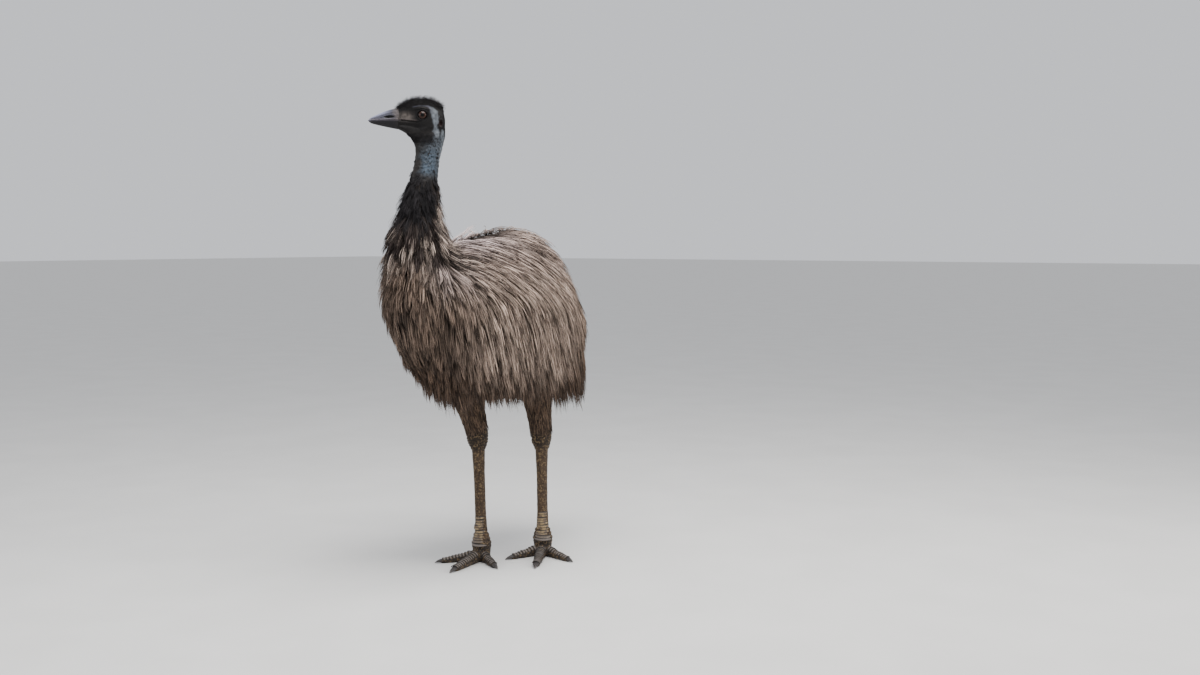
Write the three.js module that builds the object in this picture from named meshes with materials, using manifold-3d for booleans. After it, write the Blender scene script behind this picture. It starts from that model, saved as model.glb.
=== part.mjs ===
// A life-size standing emu, as a museum model: head, neck, trunk, rump and legs, with the shaggy
// plumage as flat tapered locks. Millimetres, +Z up, the bird faces -Y and its left side is +X.
// The origin is on the floor, under the middle of the bird's bounding box.

import * as THREE from 'three';
import { mergeVertices } from 'three/addons/utils/BufferGeometryUtils.js';
import Module from 'manifold-3d';

const wasm = await Module();
wasm.setup();

// Clearance between nodes that touch, and the seed of every random draw
const gap = 0.3;
const seed = 20417;

// Trunk under the plumage, from the breast (station -1) to the rump (station 1)
const trunk = {
  middleY: -112,
  halfLength: 428,
  centreZ: [[-1, 885], [-0.6, 866], [0, 838], [0.6, 792], [1, 742]],
  halfWidth: [[-1, 182], [-0.6, 192], [0, 200], [0.5, 194], [1, 172]],
  above: [[-1, 150], [-0.6, 190], [0, 252], [0.4, 293], [0.7, 280], [1, 224]],
  narrowing: 0.36,
  below: [[-1, 290], [-0.6, 284], [0, 244], [0.5, 217], [1, 178]],
};

// Neck: how far forward its middle stands, and its radius, at each height
const neck = {
  bottomZ: 880,
  topZ: 1418,
  middleY: [[880, -395], [960, -428], [1048, -452], [1120, -447], [1187, -436], [1254, -421],
    [1300, -409], [1339, -400], [1418, -396]],
  radius: [[880, 106], [960, 98], [1048, 79], [1120, 63], [1187, 51], [1254, 41.5], [1300, 37.5],
    [1339, 40], [1384, 48.5], [1418, 47]],
  side: [[1187, 0.92], [1300, 0.9], [1339, 0.82], [1384, 0.68], [1418, 0.66]],
  turnFrom: 1180,
  turnTo: 1340,
};

// Where the flesh is parted: a point on the cut, and the way it faces
const seams = {
  neckBase: { point: [0, -465, 980], normal: [0, -0.4, 0.917] },
  midNeck: { point: [0, -430, 1213], normal: [0, -0.2, 0.98] },
  skullBase: { point: [0, -398, 1384], normal: [0, -0.12, 0.993] },
  rump: { point: [0, 172, 850], normal: [0, 0.97, 0.24] },
};

// Head, in its own frame: along the bill, up, and out to the left, from the mid point of the skull
const head = {
  pivot: [0, -397, 1441.5],
  turnDeg: -47,
  tiltDeg: 1.2,
  top: [[-48, -8], [-43, 15], [-32, 30], [-12, 42.5], [20, 47], [50, 44.5], [72, 37], [92, 22]],
  bottom: [[-48, -30], [-42, -52], [-30, -66], [-10, -68], [20, -54], [46, -46], [70, -45], [92, -43.5]],
  halfWidth: [[-48, 18], [-42, 26], [-30, 31], [-10, 35], [20, 34.5], [46, 29], [68, 24.5], [92, 21]],
};

const throat = {
  from: -20,
  to: 91,
  halfWidth: [[-20, 30], [20, 28], [50, 24], [75, 21], [91, 19]],
  top: [[-20, -18], [91, -28]],
  bottom: [[-20, -94], [28, -93], [42, -83], [51, -70], [62, -59.5], [75, -50.5], [91, -43]],
};

const eye = { along: 20, up: 0, out: 25.5, radius: 15.5 };
const lid = { thickness: 3.6, out: 8 };
const brow = { ahead: 2, up: 20, out: 2.5, half: [24, 5, 6.5] };
const ear = {
  along: -33,
  up: -22,
  out: 32,
  half: [4.5, 7.5, 6],
  rimOut: 27.5,
  rimHalf: [8.5, 11.5, 6.5],
};

const bill = {
  from: 92,
  tip: 183,
  culmen: [[92, 22], [112, 16], [140, 5.5], [160, -4], [175, -11.5], [183, -18]],
  gapeLine: [[30, -21], [60, -18], [92, -15.5], [140, -16.5], [183, -19]],
  chin: [[92, -43.5], [112, -40], [140, -35], [162, -30.5], [175, -26.5], [183, -20]],
  halfWidth: [[92, 21], [112, 19], [140, 16], [162, 12.5], [175, 8.5], [183, 2.5]],
  mouthGap: 0.9,
};
const mouthCut = { along: 61, reach: 36, half: 0.8, out: 27, depth: 9 };
const nostril = { along: 119, up: -7, out: 20.5, half: [13.5, 3, 6] };

// Legs, each from the knee inside the plumage to the ground
const legs = {
  right: {
    side: -1,
    knee: [-78, -168, 640],
    hock: [-68, -98, 428],
    foot: [-72, -78, 60],
    headingDeg: 10,
  },
  left: {
    side: 1,
    knee: [59, 43, 640],
    hock: [50, 93, 414],
    foot: [48, 101, 60],
    headingDeg: 30,
  },
};
const shank = [[0, 66], [0.4, 47], [0.6, 39.5], [0.85, 34]];
const hock = { above: 34, below: 50, radius: [[0, 25], [0.25, 34.5], [0.5, 36.5], [0.75, 35], [1, 32.5]] };
const tarsus = { top: 22.5, middle: 18.8, bottom: 22, depth: 1.12, flare: 0.86 };
const foot = {
  profile: [[0, 21], [5, 26], [22, 28.5], [44, 30.5], [60, 32], [72, 28.5], [92, 23.5]],
  shiftBack: 2,
};
const toes = {
  middle: { length: 176, turnDeg: 0, rootHalf: 18, tipHalf: 12.5, rootHigh: 50, tipHigh: 19, claw: 30 },
  outer: { length: 138, turnDeg: 46, rootHalf: 15.5, tipHalf: 10.5, rootHigh: 44, tipHigh: 16, claw: 22 },
  inner: { length: 124, turnDeg: -50, rootHalf: 16, tipHalf: 11, rootHigh: 44, tipHigh: 17, claw: 26 },
};
const padSink = 2.5;

// Plumage: one entry for each patch of locks
const plumage = {
  trunk: {
    rings: 11,
    from: 17,
    to: 130,
    spacing: 86,
    length: [172, 236],
    width: [62, 80],
    thickness: 13,
    lift: 41,
    stopAt: seams.rump,
  },
  rump: {
    rings: 3,
    from: 138,
    to: 164,
    spacing: 78,
    length: [200, 290],
    width: [54, 70],
    thickness: 13,
    lift: 34,
  },
  collar: {
    rows: 5,
    spacing: 58,
    length: [92, 128],
    width: [38, 48],
    thickness: 9,
    lift: 27,
    startAt: seams.neckBase,
  },
  throat: { rows: 3, spacing: 42, length: [56, 74], width: [27, 33], thickness: 7, lift: 13 },
};

// A small repeatable random source
function drawFrom(start) {
  let state = start >>> 0;
  return () => {
    state = (Math.imul(state, 1664525) + 1013904223) >>> 0;
    return state / 4294967296;
  };
}

// A smooth value from a short list of [place, value] stations
function along(stations, place) {
  const last = stations.length - 1;
  if (place <= stations[0][0]) return stations[0][1];
  if (place >= stations[last][0]) return stations[last][1];
  let i = 0;
  while (place > stations[i + 1][0]) i += 1;
  const slope = (j) => {
    const a = stations[Math.max(j - 1, 0)];
    const b = stations[Math.min(j + 1, last)];
    return (b[1] - a[1]) / (b[0] - a[0]);
  };
  const [x0, y0] = stations[i];
  const [x1, y1] = stations[i + 1];
  const width = x1 - x0;
  const u = (place - x0) / width;
  const u2 = u * u;
  const u3 = u2 * u;
  return (2 * u3 - 3 * u2 + 1) * y0 + (u3 - 2 * u2 + u) * width * slope(i)
    + (3 * u2 - 2 * u3) * y1 + (u3 - u2) * width * slope(i + 1);
}

const mix = (a, b, share) => a + (b - a) * share;
const clamp = (value, low, high) => Math.min(high, Math.max(low, value));
const smooth = (value) => { const u = clamp(value, 0, 1); return u * u * (3 - 2 * u); };
const vector = (p) => new THREE.Vector3(...p);

// Solids: three.js geometry shaped point by point, then joined and cut as closed bodies

function shaped(geometry, place) {
  const position = geometry.getAttribute('position');
  const point = new THREE.Vector3();
  for (let i = 0; i < position.count; i += 1) {
    point.fromBufferAttribute(position, i);
    const moved = place(point.clone());
    position.setXYZ(i, moved.x, moved.y, moved.z);
  }
  return geometry;
}

function solid(geometry) {
  const bare = geometry.clone();
  bare.deleteAttribute('normal');
  bare.deleteAttribute('uv');
  const merged = mergeVertices(bare, 1e-3);
  const made = new wasm.Manifold(new wasm.Mesh({
    numProp: 3,
    vertProperties: new Float32Array(merged.getAttribute('position').array),
    triVerts: new Uint32Array(merged.index.array),
  }));
  if (made.volume() > 0) return made;
  const turned = new Uint32Array(merged.index.array);
  for (let i = 0; i < turned.length; i += 3) [turned[i], turned[i + 1]] = [turned[i + 1], turned[i]];
  return new wasm.Manifold(new wasm.Mesh({
    numProp: 3,
    vertProperties: new Float32Array(merged.getAttribute('position').array),
    triVerts: turned,
  }));
}

function largest(body) {
  return body.decompose().reduce((a, b) => (b.volume() > a.volume() ? b : a));
}

const joined = (bodies) => wasm.Manifold.union(bodies);

// How far a point is past a seam
function past(seam, point) {
  return vector(seam.normal).normalize().dot(point.clone().sub(vector(seam.point)));
}

// The side of a seam that its normal points to, or the other side, each kept clear of the cut
function beyond(body, seam) {
  const normal = vector(seam.normal).normalize();
  return body.trimByPlane(normal.toArray(), normal.dot(vector(seam.point)) + gap / 2);
}

function before(body, seam) {
  const normal = vector(seam.normal).normalize().negate();
  return body.trimByPlane(normal.toArray(), normal.dot(vector(seam.point)) + gap / 2);
}

// The flesh as a field: how far a point is from the skin, and which way the skin faces there

function trunkReach(x, y, z) {
  const station = (y - trunk.middleY) / trunk.halfLength;
  const rise = z - along(trunk.centreZ, station);
  const high = rise > 0 ? along(trunk.above, station) : along(trunk.below, station);
  const shoulder = 1 - trunk.narrowing * clamp(rise / high, 0, 1) ** 1.5;
  return Math.hypot(x / (along(trunk.halfWidth, station) * shoulder), rise / high, station);
}

function trunkField(p) {
  const step = 1;
  const here = trunkReach(p.x, p.y, p.z);
  const slope = new THREE.Vector3(
    trunkReach(p.x + step, p.y, p.z) - here,
    trunkReach(p.x, p.y + step, p.z) - here,
    trunkReach(p.x, p.y, p.z + step) - here,
  ).divideScalar(step);
  const steepness = Math.max(slope.length(), 1e-6);
  return { distance: (here - 1) / steepness, normal: slope.divideScalar(steepness) };
}

const upward = new THREE.Vector3(0, 0, 1);

// The neck's oval section turns with the head, the higher up the more
function neckTurn(height) {
  const share = smooth((height - neck.turnFrom) / (neck.turnTo - neck.turnFrom));
  return THREE.MathUtils.degToRad(head.turnDeg) * share;
}

function neckField(p) {
  const height = clamp(p.z, neck.bottomZ, neck.topZ);
  const turn = neckTurn(height);
  const out = new THREE.Vector3(p.x, p.y - along(neck.middleY, height), p.z - height);
  out.applyAxisAngle(upward, -turn);
  out.x /= along(neck.side, height);
  const reach = Math.max(out.length(), 1e-6);
  const normal = out.divideScalar(reach);
  normal.applyAxisAngle(upward, turn);
  return { distance: reach - along(neck.radius, height), normal };
}

const fleshBlend = 60;

function fleshField(p) {
  const a = trunkField(p);
  const b = neckField(p);
  const share = clamp(0.5 + (b.distance - a.distance) / (2 * fleshBlend), 0, 1);
  return {
    distance: mix(b.distance, a.distance, share) - fleshBlend * share * (1 - share),
    normal: b.normal.lerp(a.normal, share).normalize(),
  };
}

function trunkPoint(direction) {
  const station = direction.y;
  const high = direction.z > 0 ? along(trunk.above, station) : along(trunk.below, station);
  return new THREE.Vector3(
    direction.x * along(trunk.halfWidth, station),
    trunk.middleY + station * trunk.halfLength,
    along(trunk.centreZ, station) + direction.z * high,
  );
}

// Each point of a rough shape is moved out or in until it lies on the blended flesh
function ontoFlesh(p, grow = 0) {
  const moved = p.clone();
  for (let turn = 0; turn < 4; turn += 1) {
    const { distance, normal } = fleshField(moved);
    moved.addScaledVector(normal, grow - distance);
  }
  return moved;
}

function trunkBody(grow = 0) {
  return solid(shaped(new THREE.SphereGeometry(1, 24, 18), (p) => {
    const start = trunkPoint(p);
    return neckField(start).distance < -fleshBlend * 0.5 ? start : ontoFlesh(start, grow);
  }));
}

function neckBody() {
  const tube = new THREE.CylinderGeometry(1, 1, 1, 16, 14);
  return solid(shaped(tube, (p) => {
    const height = mix(neck.bottomZ, neck.topZ, p.y + 0.5);
    const radius = along(neck.radius, height);
    const start = new THREE.Vector3(p.x * radius * along(neck.side, height), p.z * radius, height)
      .applyAxisAngle(upward, neckTurn(height));
    start.y += along(neck.middleY, height);
    return height < 1010 || Math.hypot(p.x, p.z) < 0.5 ? start : ontoFlesh(start);
  }));
}

// Locks: flat, tapered and bent, each rooted in the skin and laid along the coat

// The way the coat lies at a point: down, back, and away from the parting on the spine
function lie(p, normal) {
  const onBack = smooth((p.y + 430) / 120);
  const spread = 0.55 * onBack * Math.sign(p.x || 1) * smooth(normal.z + 0.2);
  const backward = onBack * mix(0.25, 1.15, smooth(normal.z));
  const way = new THREE.Vector3(spread, backward, -1);
  const into = Math.min(0, way.dot(normal));
  return way.addScaledVector(normal, -into).normalize();
}

// The middle line of a lock: rooted under the skin, rising to `lift`, and free to hang by `slack`
function lockPath(root, way, length, lift, slack, steps, sink) {
  const points = [];
  const normals = [];
  const sides = [];
  const first = fleshField(root);
  const p = root.clone().addScaledVector(first.normal, -first.distance);
  const heading = way(p, first.normal).clone();
  for (let k = 0; k <= steps; k += 1) {
    const share = k / steps;
    const height = mix(-sink, lift, Math.sin(share * Math.PI * 0.5));
    if (k > 0) {
      heading.lerp(way(p, fleshField(p).normal), 0.55).normalize();
      p.addScaledVector(heading, length / steps);
    }
    const { distance, normal } = fleshField(p);
    const free = k === 0 ? 0 : slack * share;
    p.addScaledVector(normal, clamp(distance, height, height + free) - distance);
    if (k > 1) overShanks(p, 14);
    points.push(p.clone());
    normals.push(normal.clone());
  }
  for (let k = 0; k <= steps; k += 1) {
    const ahead = points[Math.min(k + 1, steps)].clone().sub(points[Math.max(k - 1, 0)]).normalize();
    sides.push(ahead.clone().cross(normals[k]).normalize());
    normals[k] = sides[k].clone().cross(ahead).normalize();
  }
  return { points, normals, sides };
}

// A flat tapered lock with a low ridge. A cutter is the same lock with its faces moved out by `grow`
function lockBody({ points, normals, sides }, width, thickness, grow) {
  const steps = points.length - 1;
  return solid(shaped(new THREE.ConeGeometry(1, 1, 3, steps), (p) => {
    const share = p.y + 0.5;
    const k = Math.round(share * steps);
    const ahead = sides[k].clone().cross(normals[k]).negate();
    if (k === steps) return points[k].clone().addScaledVector(ahead, grow * 5);
    const wide = width / 2 * Math.min(0.6 + 1.6 * share, 1.3 * Math.sqrt(1 - share));
    const thick = thickness * 0.62 * (1 - 0.65 * share);
    const slant = Math.hypot(1.5 * thick, wide);
    const onRidge = p.z > 0;
    const across = onRidge ? 0 : Math.sign(p.x) * (wide + grow * (slant + wide) / (1.5 * thick));
    const out = onRidge ? thick + grow * slant / wide : -thick / 2 - grow;
    return points[k].clone()
      .addScaledVector(ahead, k === 0 ? -grow : 0)
      .addScaledVector(sides[k], across)
      .addScaledVector(normals[k], out);
  }));
}

// A patch of locks: `roots` are points near the skin, and `size` gives each its own length and width
function lockPatch(roots, style, way, keep, random, steps = 4) {
  const made = [];
  for (const { point, scale, rise = 1, slack = 12 } of roots) {
    const long = mix(...style.length, random()) * scale;
    const wide = mix(...style.width, random()) * Math.sqrt(scale);
    const lift = style.lift * mix(0.8, 1.12, random()) * rise;
    const path = lockPath(point, way, long, lift, slack, steps, style.thickness);
    if (keep && !keep(path, wide)) continue;
    made.push({
      body: lockBody(path, wide, style.thickness, 0),
      cutter: () => lockBody(path, wide, style.thickness, gap * 3),
    });
  }
  return made;
}

const random = drawFrom(seed);

// A lock that would pass through a shank is pushed out until it lies over it
function overShanks(p, clearance) {
  for (const leg of Object.values(legs)) {
    const line = new THREE.Line3(vector(leg.knee), vector(leg.hock));
    const nearest = line.closestPointToPoint(p, false, new THREE.Vector3());
    const radius = along(shank, line.closestPointToPointParameter(p, false));
    const out = p.clone().sub(nearest);
    const short = radius + clearance - out.length();
    if (short > 0) p.addScaledVector(out.normalize(), short);
  }
}

// Locks rooted where a shank leaves the trunk are left out
function clearOfLegs({ points }) {
  const moved = points[1].clone();
  overShanks(moved, -4);
  return moved.distanceTo(points[1]) < 1e-3;
}

function trunkRoots(style, keep) {
  const roots = [];
  for (let ring = 0; ring < style.rings; ring += 1) {
    const meridian = THREE.MathUtils.degToRad(mix(style.from, style.to, ring / (style.rings - 1)));
    const station = -Math.cos(meridian);
    const around = Math.sin(meridian);
    const girth = Math.PI * around * (along(trunk.halfWidth, station) + along(trunk.above, station));
    const count = Math.max(4, 2 * Math.round(girth / style.spacing / 2));
    for (let i = 0; i < count; i += 1) {
      const angle = (i + (ring % 2 ? 0.5 : 0) + 0.25 + (random() - 0.5) * 0.6) / count * 2 * Math.PI;
      const place = clamp(station + (random() - 0.5) * 0.05, -0.985, 0.985);
      const wide = Math.sqrt(1 - place * place);
      const point = trunkPoint(new THREE.Vector3(Math.sin(angle) * wide, place, Math.cos(angle) * wide));
      const upward = Math.cos(angle);
      if (upward > 0 && Math.abs(point.x) < 16) point.x = 16 * Math.sign(point.x || 1);
      if (style.stopAt) point.y -= Math.max(0, past(style.stopAt, point) + 26);
      const toRear = smooth((place + 0.85) / 0.5);
      const root = {
        point,
        scale: mix(0.64, 1, smooth((upward + 0.9) / 1.1)) * mix(0.8, 1, toRear),
        rise: mix(0.72, 1, toRear) * mix(1, 1.22, smooth(upward)) * mix(1, 0.72, smooth((place - 0.3) / 0.5)),
        slack: mix(4, mix(150, 14, smooth(upward + 0.35)), toRear),
        upward,
      };
      if (keep(root)) roots.push(root);
    }
  }
  return roots;
}

// The trunk's own locks stay under the collar, and those of the belly are fewer and shorter
function onTrunk({ point, upward }) {
  const underneath = point.y > trunk.middleY - 0.4 * trunk.halfLength && upward < -0.93;
  return neckField(point).distance > -20 && past(seams.neckBase, point) < -14 && !underneath;
}

function neckRoots(style, lowZ, highZ) {
  const roots = [];
  for (let row = 0; row < style.rows; row += 1) {
    const height = mix(lowZ, highZ, row / (style.rows - 1));
    const radius = along(neck.radius, height);
    const count = Math.max(5, Math.round(2 * Math.PI * radius / style.spacing));
    for (let i = 0; i < count; i += 1) {
      const angle = (i + (row % 2 ? 0.5 : 0) + (random() - 0.5) * 0.6) / count * 2 * Math.PI;
      const rise = height + (random() - 0.5) * 14;
      const y = along(neck.middleY, height) + Math.cos(angle) * radius;
      const point = new THREE.Vector3(Math.sin(angle) * radius, y, rise);
      if (style.startAt) point.z += Math.max(0, 24 - past(style.startAt, point));
      roots.push({ point, scale: 1 });
    }
  }
  return roots;
}

// Down the neck, leaning a little out at the tips
function neckLie(p, normal) {
  const way = new THREE.Vector3(0, 0, -1);
  const into = Math.min(0, way.dot(normal));
  return way.addScaledVector(normal, -into).normalize();
}

// Head

const headTurn = new THREE.Group();
headTurn.rotation.set(0, 0, THREE.MathUtils.degToRad(head.turnDeg));
headTurn.position.set(...head.pivot);
const headTilt = new THREE.Group();
headTilt.rotation.set(THREE.MathUtils.degToRad(-head.tiltDeg), 0, 0);
headTurn.add(headTilt);
headTurn.updateMatrixWorld(true);

// From the head's own frame (along, up, out to the left) to the bird's
function fromHead(forward, up, out) {
  return new THREE.Vector3(out, -forward, up).applyMatrix4(headTilt.matrixWorld);
}

function stretched(from, to, halfWidth, top, bottom, round, slices) {
  const tube = new THREE.CylinderGeometry(1, 1, 1, 16, slices);
  return solid(shaped(tube, (p) => {
    const place = mix(from, to, p.y + 0.5);
    const high = (along(top, place) - along(bottom, place)) / 2;
    const middle = (along(top, place) + along(bottom, place)) / 2;
    const reach = Math.hypot(p.x, p.z);
    if (reach < 1e-6) return fromHead(place, middle, 0);
    const across = Math.abs(p.z / reach) ** round;
    const upright = Math.abs(p.x / reach) ** round;
    const boxy = reach / Math.hypot(across, upright) ** (1 / round);
    return fromHead(place, middle + p.x * high * boxy, p.z * along(halfWidth, place) * boxy);
  }));
}

// A flat-sided block that follows two lines along the head
function slab(from, to, half, top, bottom, slices) {
  return solid(shaped(new THREE.BoxGeometry(2, 1, 2, 1, slices, 1), (p) => {
    const place = mix(from, to, p.y + 0.5);
    const height = along(p.x > 0 ? top : bottom, place);
    return fromHead(place, height, p.z * half);
  }));
}

function skull() {
  return stretched(-48, bill.from, head.halfWidth, head.top, head.bottom, 1.15, 12);
}

function throatBody() {
  return stretched(throat.from, throat.to, throat.halfWidth, throat.top, throat.bottom, 1.15, 6);
}

function ball(centre, radii, detail = 7) {
  return solid(shaped(new THREE.SphereGeometry(1, detail * 2, detail), (p) =>
    fromHead(centre[0] + p.x * radii[0], centre[1] + p.y * radii[1], centre[2] + p.z * radii[2])));
}

const nodes = new Map();

function buildHead(neckTop, throatTop) {
  const eyeBall = (side, grow) => ball([eye.along, eye.up, side * eye.out],
    [eye.radius + grow, eye.radius + grow, eye.radius * 0.72 + grow], 6);
  const lids = [-1, 1].map((side) => solid(shaped(
    new THREE.TorusGeometry(1, lid.thickness / eye.radius, 6, 16),
    (p) => fromHead(eye.along + p.x * (eye.radius + 1), eye.up + p.y * (eye.radius - 1),
      side * (eye.out + lid.out + p.z * eye.radius - 0.012 * (p.x * eye.radius - 4) ** 2 * 0.5)),
  )));
  const brows = [-1, 1].map((side) =>
    ball([eye.along + brow.ahead, eye.up + brow.up, side * (eye.out + brow.out)], brow.half, 4));
  const ears = [-1, 1].map((side) => ball([ear.along, ear.up, side * ear.out], ear.half, 4));
  const earRims = [-1, 1].map((side) => ball([ear.along - 1, ear.up, side * ear.rimOut], ear.rimHalf, 4));
  const lipLine = bill.gapeLine.map(([place, height]) => [place, height - bill.mouthGap / 2]);
  const lips = [1, -1].map((side) => solid(shaped(new THREE.SphereGeometry(1, 8, 4), (p) => {
    const place = mouthCut.along + p.x * mouthCut.reach;
    const height = along(bill.gapeLine, place) + p.y * mouthCut.half;
    return fromHead(place, height, side * mouthCut.out + p.z * mouthCut.depth);
  })));
  let flesh = joined([beyond(skull(), seams.skullBase), neckTop, throatTop, ...lids, ...brows, ...earRims]);
  for (const cut of ears) flesh = flesh.subtract(cut);
  for (const side of [-1, 1]) flesh = flesh.subtract(eyeBall(side, gap));
  for (const lip of lips) flesh = flesh.subtract(lip);

  nodes.set('head', { body: largest(flesh), finish: 'headSkin' });

  const shell = stretched(bill.from + gap + 0.15, bill.tip, bill.halfWidth, bill.culmen, bill.chin, 1.15, 9);
  const slot = (side) => ball([nostril.along, nostril.up, side * nostril.out], nostril.half, 4);
  const [above, below] = [[[90, 60], [190, 60]], [[90, -80], [190, -80]]];
  const upperPart = slab(bill.from - 2, bill.tip + 4, 40, above, bill.gapeLine, 10);
  const lowerPart = slab(bill.from - 2, bill.tip + 4, 40, lipLine, below, 10);
  const upper = shell.intersect(upperPart).subtract(slot(1)).subtract(slot(-1));
  nodes.set('bill_upper', { body: largest(upper), finish: 'horn' });
  nodes.set('bill_lower', { body: largest(shell.intersect(lowerPart)), finish: 'horn' });
  nodes.set('eye_left', { body: eyeBall(1, 0), finish: 'eye' });
  nodes.set('eye_right', { body: eyeBall(-1, 0), finish: 'eye' });
}

// Legs

function column(from, to, radiusAt, sides, slices, squash = [1, 1]) {
  const start = vector(from);
  const axis = vector(to).sub(start);
  const length = axis.length();
  const turn = new THREE.Quaternion();
  turn.setFromUnitVectors(new THREE.Vector3(0, 1, 0), axis.clone().normalize());
  return solid(shaped(new THREE.CylinderGeometry(1, 1, 1, sides, slices), (p) => {
    const share = p.y + 0.5;
    const radius = radiusAt(share);
    return new THREE.Vector3(p.x * radius * squash[0], share * length, p.z * radius * squash[1])
      .applyQuaternion(turn).add(start);
  }));
}

// A tube that follows a curve, with square ends
function bent(curve, radiusAt, sides, slices, squash) {
  const outward = new THREE.Vector3(1, 0, 0);
  return solid(shaped(new THREE.CylinderGeometry(1, 1, 1, sides, slices), (p) => {
    const share = p.y + 0.5;
    const ahead = curve.getTangent(share);
    const side = outward.clone().addScaledVector(ahead, -ahead.dot(outward)).normalize();
    const front = ahead.clone().cross(side);
    const radius = radiusAt(share);
    return curve.getPoint(share).addScaledVector(side, p.x * radius * squash[0])
      .addScaledVector(front, p.z * radius * squash[1]);
  }));
}

function toeBody(leg, toe, grow, from, to) {
  const heading = THREE.MathUtils.degToRad(leg.headingDeg + leg.side * toe.turnDeg);
  const forward = new THREE.Vector3(Math.sin(heading), -Math.cos(heading), 0);
  const side = new THREE.Vector3(forward.y, -forward.x, 0);
  const start = new THREE.Vector3(leg.foot[0], leg.foot[1], 0);
  const tube = new THREE.CylinderGeometry(1, 1, 1, 12, 6);
  return solid(shaped(tube, (p) => {
    const share = mix(from, to, p.y + 0.5);
    const reach = share * toe.length;
    const knuckles = 1 + 0.05 * Math.cos(share * Math.PI * 6);
    const half = mix(toe.rootHalf, toe.tipHalf, share) * knuckles + grow;
    const high = mix(toe.rootHigh, toe.tipHigh, share ** 0.72) * (0.5 + 0.5 * knuckles) + padSink + grow * 2;
    const belly = -padSink - grow;
    return start.clone().addScaledVector(forward, reach).addScaledVector(side, p.x * half)
      .add(new THREE.Vector3(0, 0, belly + (p.z + 1) / 2 * high));
  }));
}

function clawBody(leg, toe) {
  const heading = THREE.MathUtils.degToRad(leg.headingDeg + leg.side * toe.turnDeg);
  const forward = new THREE.Vector3(Math.sin(heading), -Math.cos(heading), 0);
  const side = new THREE.Vector3(forward.y, -forward.x, 0);
  const start = new THREE.Vector3(leg.foot[0], leg.foot[1], 0);
  const steps = 5;
  const cone = new THREE.ConeGeometry(1, 1, 8, steps);
  return solid(shaped(cone, (p) => {
    const share = p.y + 0.5;
    const radial = Math.max(1 - share, 1e-6);
    const taper = share > 0.999 ? 0 : (1 - share) ** 0.75;
    const x = share > 0.999 ? 0 : p.x / radial;
    const z = share > 0.999 ? 0 : p.z / radial;
    const reach = toe.length + gap + share * toe.claw;
    const middle = mix(toe.tipHigh * 0.5, 3.2, share ** 0.9) + 1.2 * Math.sin(share * Math.PI);
    return start.clone().addScaledVector(forward, reach)
      .addScaledVector(side, x * toe.tipHalf * 0.78 * taper)
      .add(new THREE.Vector3(0, 0, middle + z * toe.tipHigh * 0.43 * taper));
  }));
}

const aboveFloor = (body) => body.trimByPlane([0, 0, 1], 0);

function footBody(leg, grow) {
  const top = foot.profile[foot.profile.length - 1][0];
  const heading = THREE.MathUtils.degToRad(leg.headingDeg);
  const tube = new THREE.CylinderGeometry(1, 1, 1, 14, 6);
  return aboveFloor(solid(shaped(tube, (p) => {
    const height = mix(-grow, top, p.y + 0.5);
    const radius = along(foot.profile, height) + grow;
    const back = foot.shiftBack * (1 - height / top);
    const x = p.x * radius * 1.03;
    const y = p.z * radius * 0.96 + back;
    const lean = height / top;
    const axisX = mix(leg.foot[0], mix(leg.foot[0], leg.hock[0], (top - 60) / (leg.hock[2] - 60)), lean);
    const axisY = mix(leg.foot[1], mix(leg.foot[1], leg.hock[1], (top - 60) / (leg.hock[2] - 60)), lean);
    return new THREE.Vector3(
      axisX + x * Math.cos(heading) - y * Math.sin(heading),
      axisY + x * Math.sin(heading) + y * Math.cos(heading),
      height,
    );
  })));
}

// The feathered shank, from the knee inside the trunk to just above the hock
function shankColumn(leg, grow) {
  const knee = vector(leg.knee);
  const end = 1 - (hock.above + gap) / knee.distanceTo(vector(leg.hock));
  const bottom = knee.clone().lerp(vector(leg.hock), end);
  return column(leg.knee, bottom.toArray(), (share) => along(shank, share * end) + grow, 12, 6, [0.95, 1.08]);
}

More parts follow.
